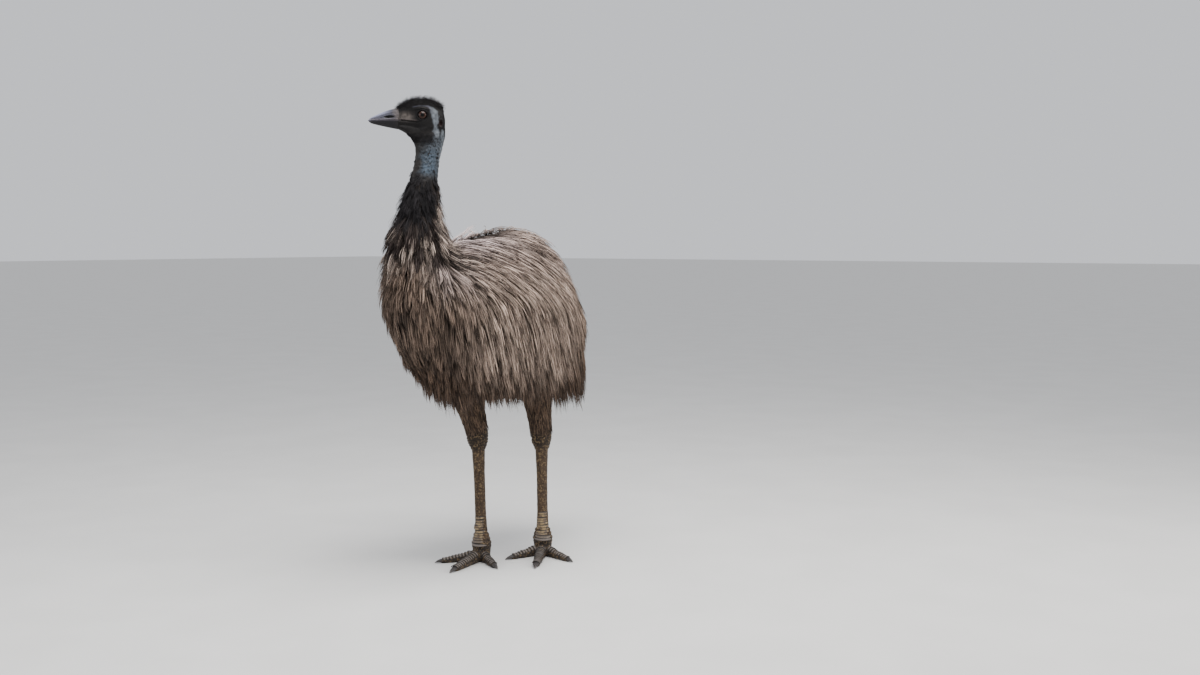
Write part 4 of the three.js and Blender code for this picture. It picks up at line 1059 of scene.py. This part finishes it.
def headBristles():
    count = bristle["count"]
    spot, normal, onCrown, onChin = bristleRoots(count)
    forward, up, out = toHead(spot)
    backward = unit(fromHead(-1.0, 0.0, 0.0) - head["pivot"])
    toFront = 1 - 1.9 * onCrown * ramp(forward, 62, 22)
    way = backward * toFront[:, None] + np.array([0, 0, 1.0]) * mix(-0.75, 0.1, onCrown)[:, None]
    way = way + draw.normal(0, 1, spot.shape) * mix(0.25, 0.5, onCrown)[:, None]
    way = unit(way - normal * (way * normal).sum(1)[:, None])
    flat, chin = mix(*bristle["flat"], draw.random(count)), mix(*bristle["chin"], draw.random(count))
    long = mix(mix(flat, chin, onChin), mix(*bristle["crown"], draw.random(count) ** 1.7), onCrown)
    long = long * mix(0.75, 1, smooth((98 - forward) / 26))
    lean, stand = mix(1, 0.6, onCrown), mix(0.22, 0.78, onCrown) * draw.uniform(0.6, 1.25, count)
    centres = [spot - normal * bristle["sunk"] + way * (long * lean * t**1.2)[:, None]
               + normal * (long * stand * math.sin(t * 1.6))[:, None] for t in bristle["places"]]
    side = unit(np.cross(way, normal))
    around = np.arctan2(out, up + 15) / (2 * np.pi) + 0.5
    width, roll = mix(*bristle["width"], draw.random(count)), draw.normal(0, 0.8, count)
    colour = paintOver(colours["blackDown"], colours["facialSkin"], draw.random(count) * 0.6)
    return strandMesh("coatHead", bristle["rings"], centres, [side] * 3, [normal] * 3, width, roll,
                      np.clip(np.stack([around, (forward + 60) / 170], 1), *uvEdge), colour,
                      draw.random(count))


crownCoat = headBristles()


# Shank feathers, laid down each leg to just above the hock

shankCoat = {"spacing": 11, "length": (30, 52), "lift": 5, "sunk": 1.5, "width": (1.8, 3.4), "many": 5,
             "from": 0.28, "to": 0.9}


def shankPiece(name, leg):
    reach = np.linalg.norm(leg["hock"] - leg["knee"])
    down = unit(leg["hock"] - leg["knee"])
    side = unit(np.array([1.0, 0, 0]) - down * down[0])
    front = np.cross(down, side)
    step = shankCoat["spacing"] / reach
    found = []
    level = shankCoat["from"]
    while level < shankCoat["to"]:
        radius = float(along(shank["radius"], level))
        count = round(2 * math.pi * radius / shankCoat["spacing"] * shankCoat["many"])
        found.append([draw.uniform(0, 2 * np.pi, count), level + draw.uniform(-0.5, 0.5, count) * step])
        level += step
    angle, level = np.concatenate(found, axis=1)
    count, sunk = len(angle), shankCoat["sunk"]
    long = mix(*shankCoat["length"], draw.random(count)) * mix(1, 0.6, ramp(level, 0.7, 0.2))
    lift = shankCoat["lift"] * draw.uniform(0.3, 1.1, count)
    sway = draw.normal(0, 0.05, count)
    centres, sides, normals = [], [], []
    for t in [*feather["rings"], 1.0]:
        here = level + long * t / reach
        turn = angle + sway * t * 3
        out = (side * (np.cos(turn) * shank["oval"][0])[:, None]
               + front * (np.sin(turn) * shank["oval"][1])[:, None])
        radius = along(shank["radius"], here) - sunk + (lift + sunk) * math.sin(t * 1.7)
        centres.append(leg["knee"] + down * (here * reach)[:, None] + out * radius[:, None])
        normals.append(unit(out))
        sides.append(unit(np.cross(np.broadcast_to(down, out.shape), out)))
    patches = smooth((mottle(centres[0], 26, 6) - 0.45) * 3)
    brown = paintOver(colours["shankFeather"], colours["fringe"], patches)
    brown = paintOver(brown, colours["hockSkin"], ramp(level, 0.72, 0.2) * 0.6)
    width, roll = mix(*shankCoat["width"], draw.random(count)), draw.normal(0, 0.4, count)
    unwrap = np.clip(np.stack([angle / (2 * np.pi), level], 1), *uvEdge)
    return strandMesh(name, feather["rings"], centres, sides, normals, width, roll, unwrap, brown,
                      draw.random(count))


shankPieces = [shankPiece("coatShankLeft", legs["left"]), shankPiece("coatShankRight", legs["right"])]
print("stage: coat made")


# Bill: two halves of horn, with the nostrils pressed in

billForm = {"slices": 80, "around": 96, "tipClose": (178, 5), "lip": 0.9, "lowerWidth": 0.965,
            "groove": (2.2, 1.1), "nostrilDepth": 5.2, "lengthFrom": 92, "length": 91}


def billHalf(name, upper):
    place = np.sin(np.linspace(0, 1, billForm["slices"]) * np.pi / 2) ** 0.94
    place = mix(bill["from"], bill["tip"], place)
    up, out = superRing(place, bill["halfWidth"], bill["culmen"], bill["chin"], billForm["around"])
    place = place[:, None]
    gape = along(bill["gapeLine"], place)
    closing = 1 - 0.65 * ramp(place, *billForm["tipClose"])
    if upper:
        rim = gape
        up = np.maximum(up, gape - ramp(place, 100, 40) * billForm["lip"])
        ridge = bell(out / 4.5) * (up > gape + 6) * ramp(place, 100, 20)
        up = up + ridge * 0.9
        halfHigh, deep = billForm["groove"]
        groove = bell((up - mix(4, -8, ramp(place, 100, 60))) / halfHigh)
        groove = groove * ramp(place, 92, 10) * (1 - ramp(place, 158, 12))
        out = out - np.sign(out) * deep * groove * (np.abs(out) > 4)
        middle, level, halfLong, halfHigh = bill["nostril"]
        above = up - level - 0.08 * (middle - place)
        slot = bell(((place - middle) / halfLong) ** 2 + (above / halfHigh) ** 2)
        out = out - np.sign(out) * billForm["nostrilDepth"] * slot * (np.abs(out) > 5)
    else:
        rim = gape - bill["mouthGap"]
        up = np.minimum(up, rim)
        out = out * billForm["lowerWidth"]
        slot = np.zeros_like(up)
    up = mix(rim, up, closing)
    above = up - gape
    edge = bell((above - (1.4 if upper else -2.0)) / 1.5)
    share = np.broadcast_to((place - billForm["lengthFrom"]) / billForm["length"], up.shape)
    top = along(bill["culmen"], place) - gape
    piece = pieceFrom(name, *tube(fromHead(place, up, out)))
    for layer, values, atTip in (("nostril", slot, 0), ("edge", edge, 0), ("length", share.clip(0, 1), 1),
                                 ("height", above / 30, 0), ("ridge", above / np.maximum(top, 3), 1)):
        carry(piece, layer, np.r_[values.ravel(), 0, atTip])
    return piece


billUpper = billHalf("billUpper", True)
billLower = billHalf("billLower", False)


# Eyes: a flattened ball with a slightly raised cornea

def eyeBall(name, side):
    slices, around = 64, 72
    turn = np.linspace(0.004, np.pi - 0.02, slices)
    c, s = circle(around)
    radius = eye["radius"] * np.sin(turn)
    inFront = np.cos(turn) > 0
    out = eye["out"] + eye["radius"] * eye["flat"] * np.cos(turn)
    out = out + 1.1 * bell(radius / 8.5) * inFront
    forward, up = eye["along"] + radius[:, None] * c, eye["up"] + radius[:, None] * s
    piece = pieceFrom(name, *tube(fromHead(forward, up, side * out[:, None])))
    carry(piece, "ring", np.r_[np.repeat(np.where(inFront, radius, 30), around), 0, 30])
    carry(piece, "spoke", np.r_[np.tile(np.arange(around) / around, slices), 0, 0])
    return piece


eyes = [eyeBall("eyeLeft", 1), eyeBall("eyeRight", -1)]


# Claws: curved, blunt-edged cones

clawForm = {"from": -0.22, "taper": 0.62, "tip": 0.03, "tipHigh": 2.6, "arch": 1.4, "wide": 0.74,
            "high": 0.42, "keel": 0.82}


def clawPiece(name, leg, toe):
    forward = facing(leg["heading"] + leg["side"] * toe["turn"])
    side = np.array([forward[1], -forward[0], 0])
    share = np.linspace(clawForm["from"], 1, 26)
    late = share.clip(0, 1)
    taper = np.maximum((1 - late) ** clawForm["taper"], clawForm["tip"])[:, None]
    middle = mix(toe["tipHigh"] * 0.5, clawForm["tipHigh"], late**0.9)
    middle = middle + clawForm["arch"] * np.sin(late * np.pi)
    c, s = circle(28)
    keel = np.where(s < -0.2, clawForm["keel"], 1.0)
    line = leg["foot"] * [1, 1, 0] + forward * (toe["length"] + share * toe["claw"])[:, None]
    height = middle[:, None] + s * keel * toe["tipHigh"] * clawForm["high"] * taper
    rings = line[:, None] + side * (c[None] * toe["tipHalf"] * clawForm["wide"] * taper)[..., None]
    rings[..., 2] = np.maximum(height, 0.1)
    piece = pieceFrom(name, *tube(rings))
    carry(piece, "share", np.r_[np.repeat(late, 28), 0, 1])
    return piece


claws = {f"claw_{toeName}_{name}": clawPiece(f"claw{toeName.title()}{name.title()}", leg, toe)
         for name, leg in legs.items() for toeName, toe in toes.items()}


# Scutes: overlapping plates down the front of each shin and over each toe, by Geometry Nodes

scutes = {"toeStep": 10.8, "toeFrom": 0.3, "toeTo": 0.985, "shinStep": 8.6, "shinFrom": 60, "shinTop": 150,
          "spread": 66, "seed": 31, "jitter": 0.045,
          "rows": ((-0.62, 0.96, 1), (-0.4, 1.02, 0.8), (0.1, 1.1, 0), (0.42, 1.1, 0.6), (0.56, 0.97, 1)),
          "shin": [[60, 32], [72, 28.5], [92, 23.8], [130, 20.6], [168, 18.9], [300, 18.9]]}


def scutePlate():  # one plate, an arc round the limb's axis, front edge raised, its rims marked for painted shade
    turn = np.radians(np.linspace(-scutes["spread"], scutes["spread"], 9))
    edge = np.cos(turn / turn.max() * np.pi / 2) ** 0.35
    rows = [np.stack([np.sin(turn) * radius, y * mix(0.55, 1, edge), np.cos(turn) * radius], 1)
            for y, radius, rim in scutes["rows"]]
    rows.append(np.stack([np.sin(turn) * 0.9, 0 * turn, np.cos(turn) * 0.9], 1))
    rimShade = np.repeat([rim for y, radius, rim in scutes["rows"]] + [1], 9)
    i, j = np.meshgrid(np.arange(6), np.arange(8), indexing="ij")
    i2 = (i + 1) % 6
    quads = np.stack([i * 9 + j, i * 9 + j + 1, i2 * 9 + j + 1, i2 * 9 + j], -1).reshape(-1, 4)
    ends = [[k * 9 for k in range(6)], [k * 9 + 8 for k in range(5, -1, -1)]]
    mesh = bpy.data.meshes.new("plate")
    mesh.from_pydata(np.concatenate(rows).tolist(), [], quads.tolist() + ends)
    mesh.update()
    plate = placed("plate", mesh)
    carry(plate, "rim", rimShade)
    return plate


def scuteRow():  # place, turn and size of every plate
    rows = []
    for leg in legs.values():
        for toe in toes.values():
            share = np.arange(scutes["toeFrom"], scutes["toeTo"], scutes["toeStep"] / toe["length"])
            middle, half, high, forward = toeLine(leg, toe, share)
            turn = Euler((0, 0, math.atan2(forward[0], -forward[1]) + math.pi))
            rows += [(m, turn, (w, scutes["toeStep"] * 1.12, h)) for m, w, h in zip(middle, half, high)]
        up = Vector(unit(leg["hock"] - leg["foot"]))
        front = Vector(facing(leg["heading"]))
        front = (front - up * front.dot(up)).normalized()
        turn = Matrix((-up.cross(front), -up, front)).transposed()
        for height in np.arange(scutes["shinFrom"], scutes["shinTop"], scutes["shinStep"]):
            radius = float(along(scutes["shin"], height)) * mix(1, 0.94, ramp(height, 115, 30))
            askew = Matrix.Rotation(draw.normal(0, 0.1), 3, up)
            askew = askew @ Matrix.Rotation(draw.normal(0, 0.05), 3, front)
            rows.append((downLeg(leg, height + draw.uniform(-1.3, 1.3)), (askew @ turn).to_euler(),
                         (radius * 0.88, scutes["shinStep"] * 1.15, radius * 1.12)))
    return rows


def scuteTree(material):
    tree = bpy.data.node_groups.new("scuteRows", "GeometryNodeTree")
    for name, kind in (("Places", "Geometry"), ("Plate", "Object"), ("Jitter", "Float"), ("Seed", "Int")):
        tree.interface.new_socket(name=name, in_out="INPUT", socket_type="NodeSocket" + kind)
    tree.interface.new_socket(name="Scutes", in_out="OUTPUT", socket_type="NodeSocketGeometry")
    add, link = tree.nodes.new, tree.links.new
    given, result = add("NodeGroupInput"), add("NodeGroupOutput")
    info, put, whole, paint = (add("GeometryNode" + kind) for kind in
                               ("ObjectInfo", "InstanceOnPoints", "RealizeInstances", "SetMaterial"))
    turn, size = add("GeometryNodeInputNamedAttribute"), add("GeometryNodeInputNamedAttribute")
    for node, name in ((turn, "turn"), (size, "size")):
        node.data_type = "FLOAT_VECTOR"
        node.inputs["Name"].default_value = name
    vary, grow = add("FunctionNodeRandomValue"), add("ShaderNodeVectorMath")
    low, high = add("ShaderNodeMath"), add("ShaderNodeMath")
    vary.data_type = "FLOAT"
    grow.operation = "SCALE"
    low.operation, high.operation = "SUBTRACT", "ADD"
    paint.inputs["Material"].default_value = material
    for limit, socket in zip((low, high), [s for s in vary.inputs if s.type == "VALUE"]):
        limit.inputs[0].default_value = 1.0
        link(given.outputs["Jitter"], limit.inputs[1])
        link(limit.outputs[0], socket)
    link(given.outputs["Plate"], info.inputs["Object"])
    link(given.outputs["Seed"], vary.inputs["Seed"])
    link(size.outputs["Attribute"], grow.inputs[0])
    link(next(s for s in vary.outputs if s.type == "VALUE"), grow.inputs["Scale"])
    link(given.outputs["Places"], put.inputs["Points"])
    link(info.outputs["Geometry"], put.inputs["Instance"])
    link(turn.outputs["Attribute"], put.inputs["Rotation"])
    link(grow.outputs[0], put.inputs["Scale"])
    link(put.outputs["Instances"], whole.inputs["Geometry"])
    link(whole.outputs["Geometry"], paint.inputs["Geometry"])
    link(paint.outputs["Geometry"], result.inputs["Scutes"])
    return tree


def makeScutes(material):
    plate = scutePlate()
    spots, turns, sizes = zip(*scuteRow())
    mesh = bpy.data.meshes.new("scutePlaces")
    mesh.from_pydata((np.array(spots) / 1000 + origin).tolist(), [], [])
    for name, values in (("turn", [tuple(turn) for turn in turns]), ("size", np.array(sizes) / 1000)):
        layer = mesh.attributes.new(name, "FLOAT_VECTOR", "POINT")
        layer.data.foreach_set("vector", np.array(values, np.float32).ravel())
    places = placed("scutePlaces", mesh)
    rowsMaker = places.modifiers.new("rows", "NODES")
    rowsMaker.node_group = scuteTree(material)
    keys = {item.name: item.identifier for item in rowsMaker.node_group.interface.items_tree
            if item.in_out == "INPUT"}
    rowsMaker[keys["Plate"]] = plate
    rowsMaker[keys["Jitter"]] = scutes["jitter"]
    rowsMaker[keys["Seed"]] = scutes["seed"]
    made = solved(places)
    made.name = "legScutes"
    bpy.data.objects.remove(places)
    bpy.data.objects.remove(plate)
    made.polygons.foreach_set("use_smooth", np.ones(len(made.polygons), bool))
    return placed("legScutes", made)


# Materials

class Wire:  # a socket that Python's own operators work on
    def __init__(self, paint, socket):
        self.paint, self.socket = paint, socket

    def maths(self, operation, first, second):
        return self.paint.node("Math", {"operation": operation}, {0: first, 1: second})

    def __add__(self, other):
        return self.maths("ADD", self, other)

    def __radd__(self, other):
        return self.maths("ADD", other, self)

    def __sub__(self, other):
        return self.maths("SUBTRACT", self, other)

    def __rsub__(self, other):
        return self.maths("SUBTRACT", other, self)

    def __mul__(self, other):
        return self.maths("MULTIPLY", self, other)

    def __rmul__(self, other):
        return self.maths("MULTIPLY", other, self)


class Paint:  # one material and the nodes that feed its shader
    def __init__(self, name, **constants):
        self.material = bpy.data.materials.new(name)
        self.material.use_nodes = True
        self.tree = self.material.node_tree
        self.shader = next(n for n in self.tree.nodes if n.type == "BSDF_PRINCIPLED")
        for socket, value in constants.items():
            self.shader.inputs[socket.replace("_", " ")].default_value = value

    def node(self, kind, settings=None, sockets=None, out=0):
        made = self.tree.nodes.new("ShaderNode" + kind)
        for key, value in (settings or {}).items():
            setattr(made, key, value)
        for key, value in (sockets or {}).items():
            socket = made.inputs[key] if isinstance(key, int) else next(
                s for s in made.inputs if key in (s.identifier, s.name))
            if isinstance(value, Wire):
                self.tree.links.new(value.socket, socket)
            elif not np.isscalar(value):
                socket.default_value = (*value, 1) if socket.type == "RGBA" else tuple(value)
            else:
                socket.default_value = value
        return Wire(self, made.outputs[out])

    def read(self, name, colour=False):
        return self.node("Attribute", {"attribute_name": name}, out=0 if colour else 2)

    def place(self, *scale):
        return self.node("Mapping", {},
                         {"Vector": self.node("TexCoord", out=3), "Scale": scale or (1, 1, 1)})

    def noise(self, scale, detail=4, rough=0.55, where=None):
        return self.node("TexNoise", {}, {"Vector": where or self.place(), "Scale": scale, "Detail": detail,
                                          "Roughness": rough})

    def cells(self, feature, scale, where=None):
        return self.node("TexVoronoi", {"feature": feature},
                         {"Vector": where or self.place(), "Scale": scale})

    def blend(self, share, first, second, mode="MIX"):
        return self.node("Mix", {"data_type": "RGBA", "blend_type": mode},
                         {"Factor_Float": share, "A_Color": first, "B_Color": second}, out=2)

    def between(self, value, low, high, toLow=0.0, toHigh=1.0):
        return self.node("MapRange", {"interpolation_type": "SMOOTHSTEP"},
                         {0: value, 1: low, 2: high, 3: toLow, 4: toHigh})

    def bump(self, height, strength, distance):
        return self.node("Bump", {}, {"Height": height, "Strength": strength, "Distance": distance})

    def feed(self, **links):
        for name, wire in links.items():
            self.tree.links.new(wire.socket, self.shader.inputs[name.replace("_", " ")])
        return self.material


def skinMaterial():
    paint = Paint("birdSkinMaterial", Specular_IOR_Level=0.16)
    scaly, speckle = paint.read("scaly"), paint.read("speckle")
    fine = paint.noise(900, 3)
    blotches = paint.between(paint.noise(60, 5), 0.35, 0.7) * 0.3
    patchy = paint.between(paint.noise(90, 3), 0.26, 0.5)
    dots = paint.between(paint.cells("F1", 235, paint.place(1, 1, 0.6)), 0.3, 0.46, 1, 0) * patchy * speckle
    pits = paint.between(paint.cells("F1", 105, paint.place(1, 1, 0.8)), 0.22, 0.34, 1, 0)
    pits = pits * paint.between(paint.noise(30, 2), 0.42, 0.56) * scaly
    groove = paint.between(paint.cells("DISTANCE_TO_EDGE", 170), 0.0, 0.16, 1, 0) * scaly
    worn = paint.between(paint.noise(150, 2), 0.5, 0.64) * scaly
    colour = paint.blend(blotches, paint.read("marking", True), tint(26, 23, 22))
    colour = paint.blend(dots * 0.9, colour, tint(14, 14, 16))
    colour = paint.blend(pits * 0.75, colour, tint(26, 20, 16))
    colour = paint.blend(groove * 0.65, colour, tint(26, 20, 16))
    colour = paint.blend(worn * 0.5, colour, tint(128, 107, 78))
    height = (1 - groove) * 0.6 + fine * 0.25 + paint.noise(240, 4) * 0.35
    return paint.feed(Base_Color=colour, Roughness=paint.between(fine, 0.3, 0.7, 0.5, 0.72),
                      Normal=paint.bump(height, 0.55, 0.0012))


def coatMaterial(name, dark, tipDark, paleAndLitShare):
    paint = Paint(name, Specular_IOR_Level=0.18, Roughness=0.72)
    base, share, toneAndShade = paint.read("marking", True), paint.read("share"), paint.read("toneAndShade")
    barbs = paint.noise(420, 3, 0.6, paint.place(1, 1, 0.35))
    paleAndLitCopy = paint.blend(1.0, base, (2.05, 2.02, 2.02), "MULTIPLY")
    # strands of low tone painted towards the dark colour: the feathers' own darker tone, and painted shade
    # on the deep strands between locks
    colour = paint.blend(paint.between(toneAndShade, 0.12, 0.6, 0.86, 0.0), base, dark)
    # strands of high tone painted towards a lighter copy of their colour: the feathers' own paler tone, and
    # painted highlights on the top strands
    colour = paint.blend(paint.between(toneAndShade, 0.6, 0.86) * paleAndLitShare, colour, paleAndLitCopy)
    # each feather painted darker towards its root: painted shade where the feathers above cover it
    colour = paint.blend(paint.between(share, 0.05, 0.52, 0.8, 0.0), colour, dark * 0.7)
    colour = paint.blend(paint.between(share, 0.82, 1.0) * tipDark, colour, dark)
    colour = paint.blend(paint.between(barbs, 0.4, 0.7) * 0.3, colour, dark)
    return paint.feed(Base_Color=colour, Normal=paint.bump(barbs, 0.35, 0.0006))


def hornMaterial():
    paint = Paint("billHorn", Specular_IOR_Level=0.2)
    length, edge, height, nostril, ridge = (
        paint.read(name) for name in ("length", "edge", "height", "nostril", "ridge"))
    grain = paint.noise(300, 5, 0.6)
    pale = paint.between(length, 0.16, 0.62) * paint.between(ridge, 0.5, 0.95, 0.06, 1.0)
    root = paint.between(length + (paint.noise(120, 3) - 0.5) * 0.35, 0.0, 0.24, 1, 0)
    rootSkin = paint.blend(paint.between(paint.cells("DISTANCE_TO_EDGE", 300), 0, 0.2), tint(36, 32, 32),
                           tint(98, 90, 88))
    low = paint.between(height, -0.1, 0.0, 1, 0)
    colour = paint.blend(paint.between(grain, 0.3, 0.7), tint(36, 36, 43), tint(62, 62, 72))
    colour = paint.blend(pale * 0.9, colour, tint(124, 126, 148))
    colour = paint.blend(paint.between(length, 0.84, 1.0) * 0.6, colour, tint(136, 136, 154))
    colour = paint.blend(root * 0.9, colour, rootSkin)
    colour = paint.blend(edge * 0.55 * paint.between(height, -0.02, 0.02), colour, tint(118, 110, 114))
    colour = paint.blend(low * 0.93, colour, tint(21, 20, 22))
    colour = paint.blend(edge * 0.4 * low, colour, tint(96, 90, 96))
    # the inside of each nostril painted near black: painted shade in the recess
    colour = paint.blend(paint.between(nostril, 0.05, 0.35), colour, (0.003, 0.003, 0.003))
    return paint.feed(Base_Color=colour, Roughness=paint.between(grain, 0.3, 0.7, 0.42, 0.6),
                      Normal=paint.bump(grain, 0.3, 0.0006))


def eyeMaterial():
    paint = Paint("eyeMaterial", Specular_IOR_Level=0.12, Coat_Weight=0.1, Coat_Roughness=0.03)
    ring = paint.read("ring")
    across = paint.node("CombineXYZ", {}, {"X": paint.read("spoke") * 60, "Y": ring * 0.35})
    streaks = paint.node("TexNoise", {"noise_dimensions": "2D"},
                         {"Vector": across, "Scale": 1.0, "Detail": 3})
    pupil, iris = eye["pupil"] - 0.2, eye["iris"]
    colour = paint.blend(paint.between(streaks, 0.3, 0.7), tint(26, 16, 12), tint(56, 33, 24))
    colour = paint.blend(paint.between(ring, 9.2, iris - 0.4), colour, tint(14, 9, 8))
    colour = paint.blend(paint.between(ring, pupil, pupil + 2.2, 1, 0) * 0.7, colour, tint(22, 13, 10))
    colour = paint.blend(paint.between(ring, pupil, pupil + 0.5, 1, 0), colour, (0.002, 0.002, 0.002))
    colour = paint.blend(paint.between(ring, iris - 0.4, iris + 0.4), colour, tint(10, 8, 8))
    return paint.feed(Base_Color=colour, Roughness=paint.between(ring, 12, 14, 0.08, 0.3))


def clawMaterial():
    paint = Paint("clawMaterial", Specular_IOR_Level=0.45)
    grain = paint.noise(500, 4, 0.6)
    colour = paint.blend(paint.between(grain, 0.3, 0.7), tint(34, 31, 31), tint(60, 55, 53))
    colour = paint.blend(paint.between(paint.read("share"), 0.6, 1.0) * 0.4, colour, tint(92, 84, 79))
    return paint.feed(Base_Color=colour, Roughness=paint.between(grain, 0.3, 0.7, 0.4, 0.6),
                      Normal=paint.bump(grain, 0.4, 0.0005))


def scuteMaterial():
    paint = Paint("scuteMaterial", Specular_IOR_Level=0.5)
    height = paint.node("SeparateXYZ", {}, {0: paint.node("TexCoord", out=3)}, out=2)
    grain = paint.noise(260, 5)
    shin = paint.between(height, 0.06, 0.09) * paint.between(height, 0.12, 0.2, 1, 0.35)
    shin = shin * paint.between(paint.noise(70, 3), 0.35, 0.6)
    colour = paint.blend(paint.between(height, 0.05, 0.09), tint(112, 103, 96), colours["tarsusSkin"])
    colour = paint.blend(shin, colour, colours["scuteFront"])
    colour = paint.blend(paint.between(grain, 0.4, 0.7) * 0.5, colour, tint(52, 43, 36))
    # each plate's edges painted dark: painted shade in the gaps where the plates overlap
    colour = paint.blend(paint.between(paint.read("rim"), 0.15, 0.85) * 0.92, colour, tint(24, 20, 18))
    return paint.feed(Base_Color=colour, Roughness=paint.between(grain, 0.3, 0.7, 0.45, 0.65),
                      Normal=paint.bump(grain, 0.5, 0.0008))


def floorMaterial():
    paint = Paint("floorMaterial", Specular_IOR_Level=0.2)
    grain = paint.between(paint.noise(3, 3), 0.3, 0.7)
    colour = paint.blend(grain, (0.66, 0.655, 0.64), (0.69, 0.685, 0.67))
    return paint.feed(Base_Color=colour, Roughness=grain * 0.1 + 0.75)


materials = {
    "skin": skinMaterial(),
    "body": coatMaterial("bodyFeathers", tint(40, 32, 27), 0.75, 0.85),
    "neck": coatMaterial("neckFeathers", tint(20, 18, 20), 0.3, 0.95),
    "horn": hornMaterial(),
    "eye": eyeMaterial(),
    "claw": clawMaterial(),
    "scute": scuteMaterial(),
}
legScutes = makeScutes(materials["scute"])
print("stage: scutes", len(legScutes.data.polygons), "faces")

dressing = [
    (birdSkin, "skin", "head_skin"), (crownCoat, "neck", "head_skin"), (billUpper, "horn", "bill_horn"),
    (billLower, "horn", "bill_horn"), (eyes[0], "eye", "eye"), (eyes[1], "eye", "eye"),
    (legScutes, "scute", "leg_scales"),
    *[(piece, "body", "body_feathers") for piece in trunkPieces],
    *[(piece, "body", "collar_feathers") for piece in neckPieces[:2]],
    (neckPieces[2], "neck", "neck_feathers"),
    *[(piece, "body", "leg_feathers") for piece in shankPieces],
    *[(piece, "claw", "claw") for piece in claws.values()],
]
for piece, material, slot in dressing:
    piece.data.materials.clear()
    piece.data.materials.append(materials[material])
    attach(piece, "root")

flesh = ["head", "neck_upper", "neck_lower", "torso", "tail"]
flesh += [f"{part}_{side}" for side in legs for part in
          ("shank", "hock", "tarsus", "foot", "toe_inner", "toe_middle", "toe_outer")]
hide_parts(*flesh)
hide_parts("bill_upper")
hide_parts("bill_lower")
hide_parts("eye_left")
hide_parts("eye_right")
for node, piece in claws.items():
    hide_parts(node)


# Floor, light and camera

studio = {"floor": 60.0, "world": (0.93, 0.95, 1.0), "worldStrength": 0.85}
lamps = {
    "overhead": {"place": (1.0, -0.6, 3.6), "target": (0, -0.1, 0.8), "size": (2.4, 2.0), "power": 190,
                 "colour": (1.0, 0.98, 0.95)},
    "side": {"place": (3.4, 1.4, 2.0), "target": (0, 0, 0.9), "size": (1.6, 1.8), "power": 60,
             "colour": (1.0, 0.97, 0.93)},
    "fill": {"place": (-1.2, -3.8, 1.8), "target": (0, -0.1, 0.9), "size": (2.6, 2.0), "power": 45,
             "colour": (0.94, 0.97, 1.0)},
}
camera = {"place": (2.764, -3.439, 1.066), "azimuth": 35, "down": 4.19, "lens": 39.9, "sensor": 36}

floorMesh = bpy.data.meshes.new("floor")
half = studio["floor"]
floorMesh.from_pydata([(-half, -half, 0), (half, -half, 0), (half, half, 0), (-half, half, 0)], [],
                      [(0, 1, 2, 3)])
floor = placed("floor", floorMesh)
floor.data.materials.append(floorMaterial())

for name, lamp in lamps.items():
    light = bpy.data.lights.new(name, "AREA")
    light.shape = "RECTANGLE"
    light.size, light.size_y = lamp["size"]
    light.energy = lamp["power"]
    light.color = lamp["colour"]
    holder = placed(name, light)
    holder.location = lamp["place"]
    aim = Vector(lamp["target"]) - Vector(lamp["place"])
    holder.rotation_euler = aim.to_track_quat("-Z", "Y").to_euler()

world = bpy.data.worlds.new("studio")
world.use_nodes = True
sky = next(n for n in world.node_tree.nodes if n.type == "BACKGROUND")
sky.inputs["Color"].default_value = (*studio["world"], 1)
sky.inputs["Strength"].default_value = studio["worldStrength"]
bpy.context.scene.world = world

cameraData = bpy.data.cameras.new("camera")
cameraData.lens = camera["lens"]
cameraData.sensor_width = camera["sensor"]
viewer = placed("camera", cameraData)
viewer.location = Vector(camera["place"]) + Vector(origin)
viewer.rotation_euler = Euler((math.radians(90 - camera["down"]), 0, math.radians(camera["azimuth"])))
bpy.context.scene.camera = viewer
print("stage: studio ready")
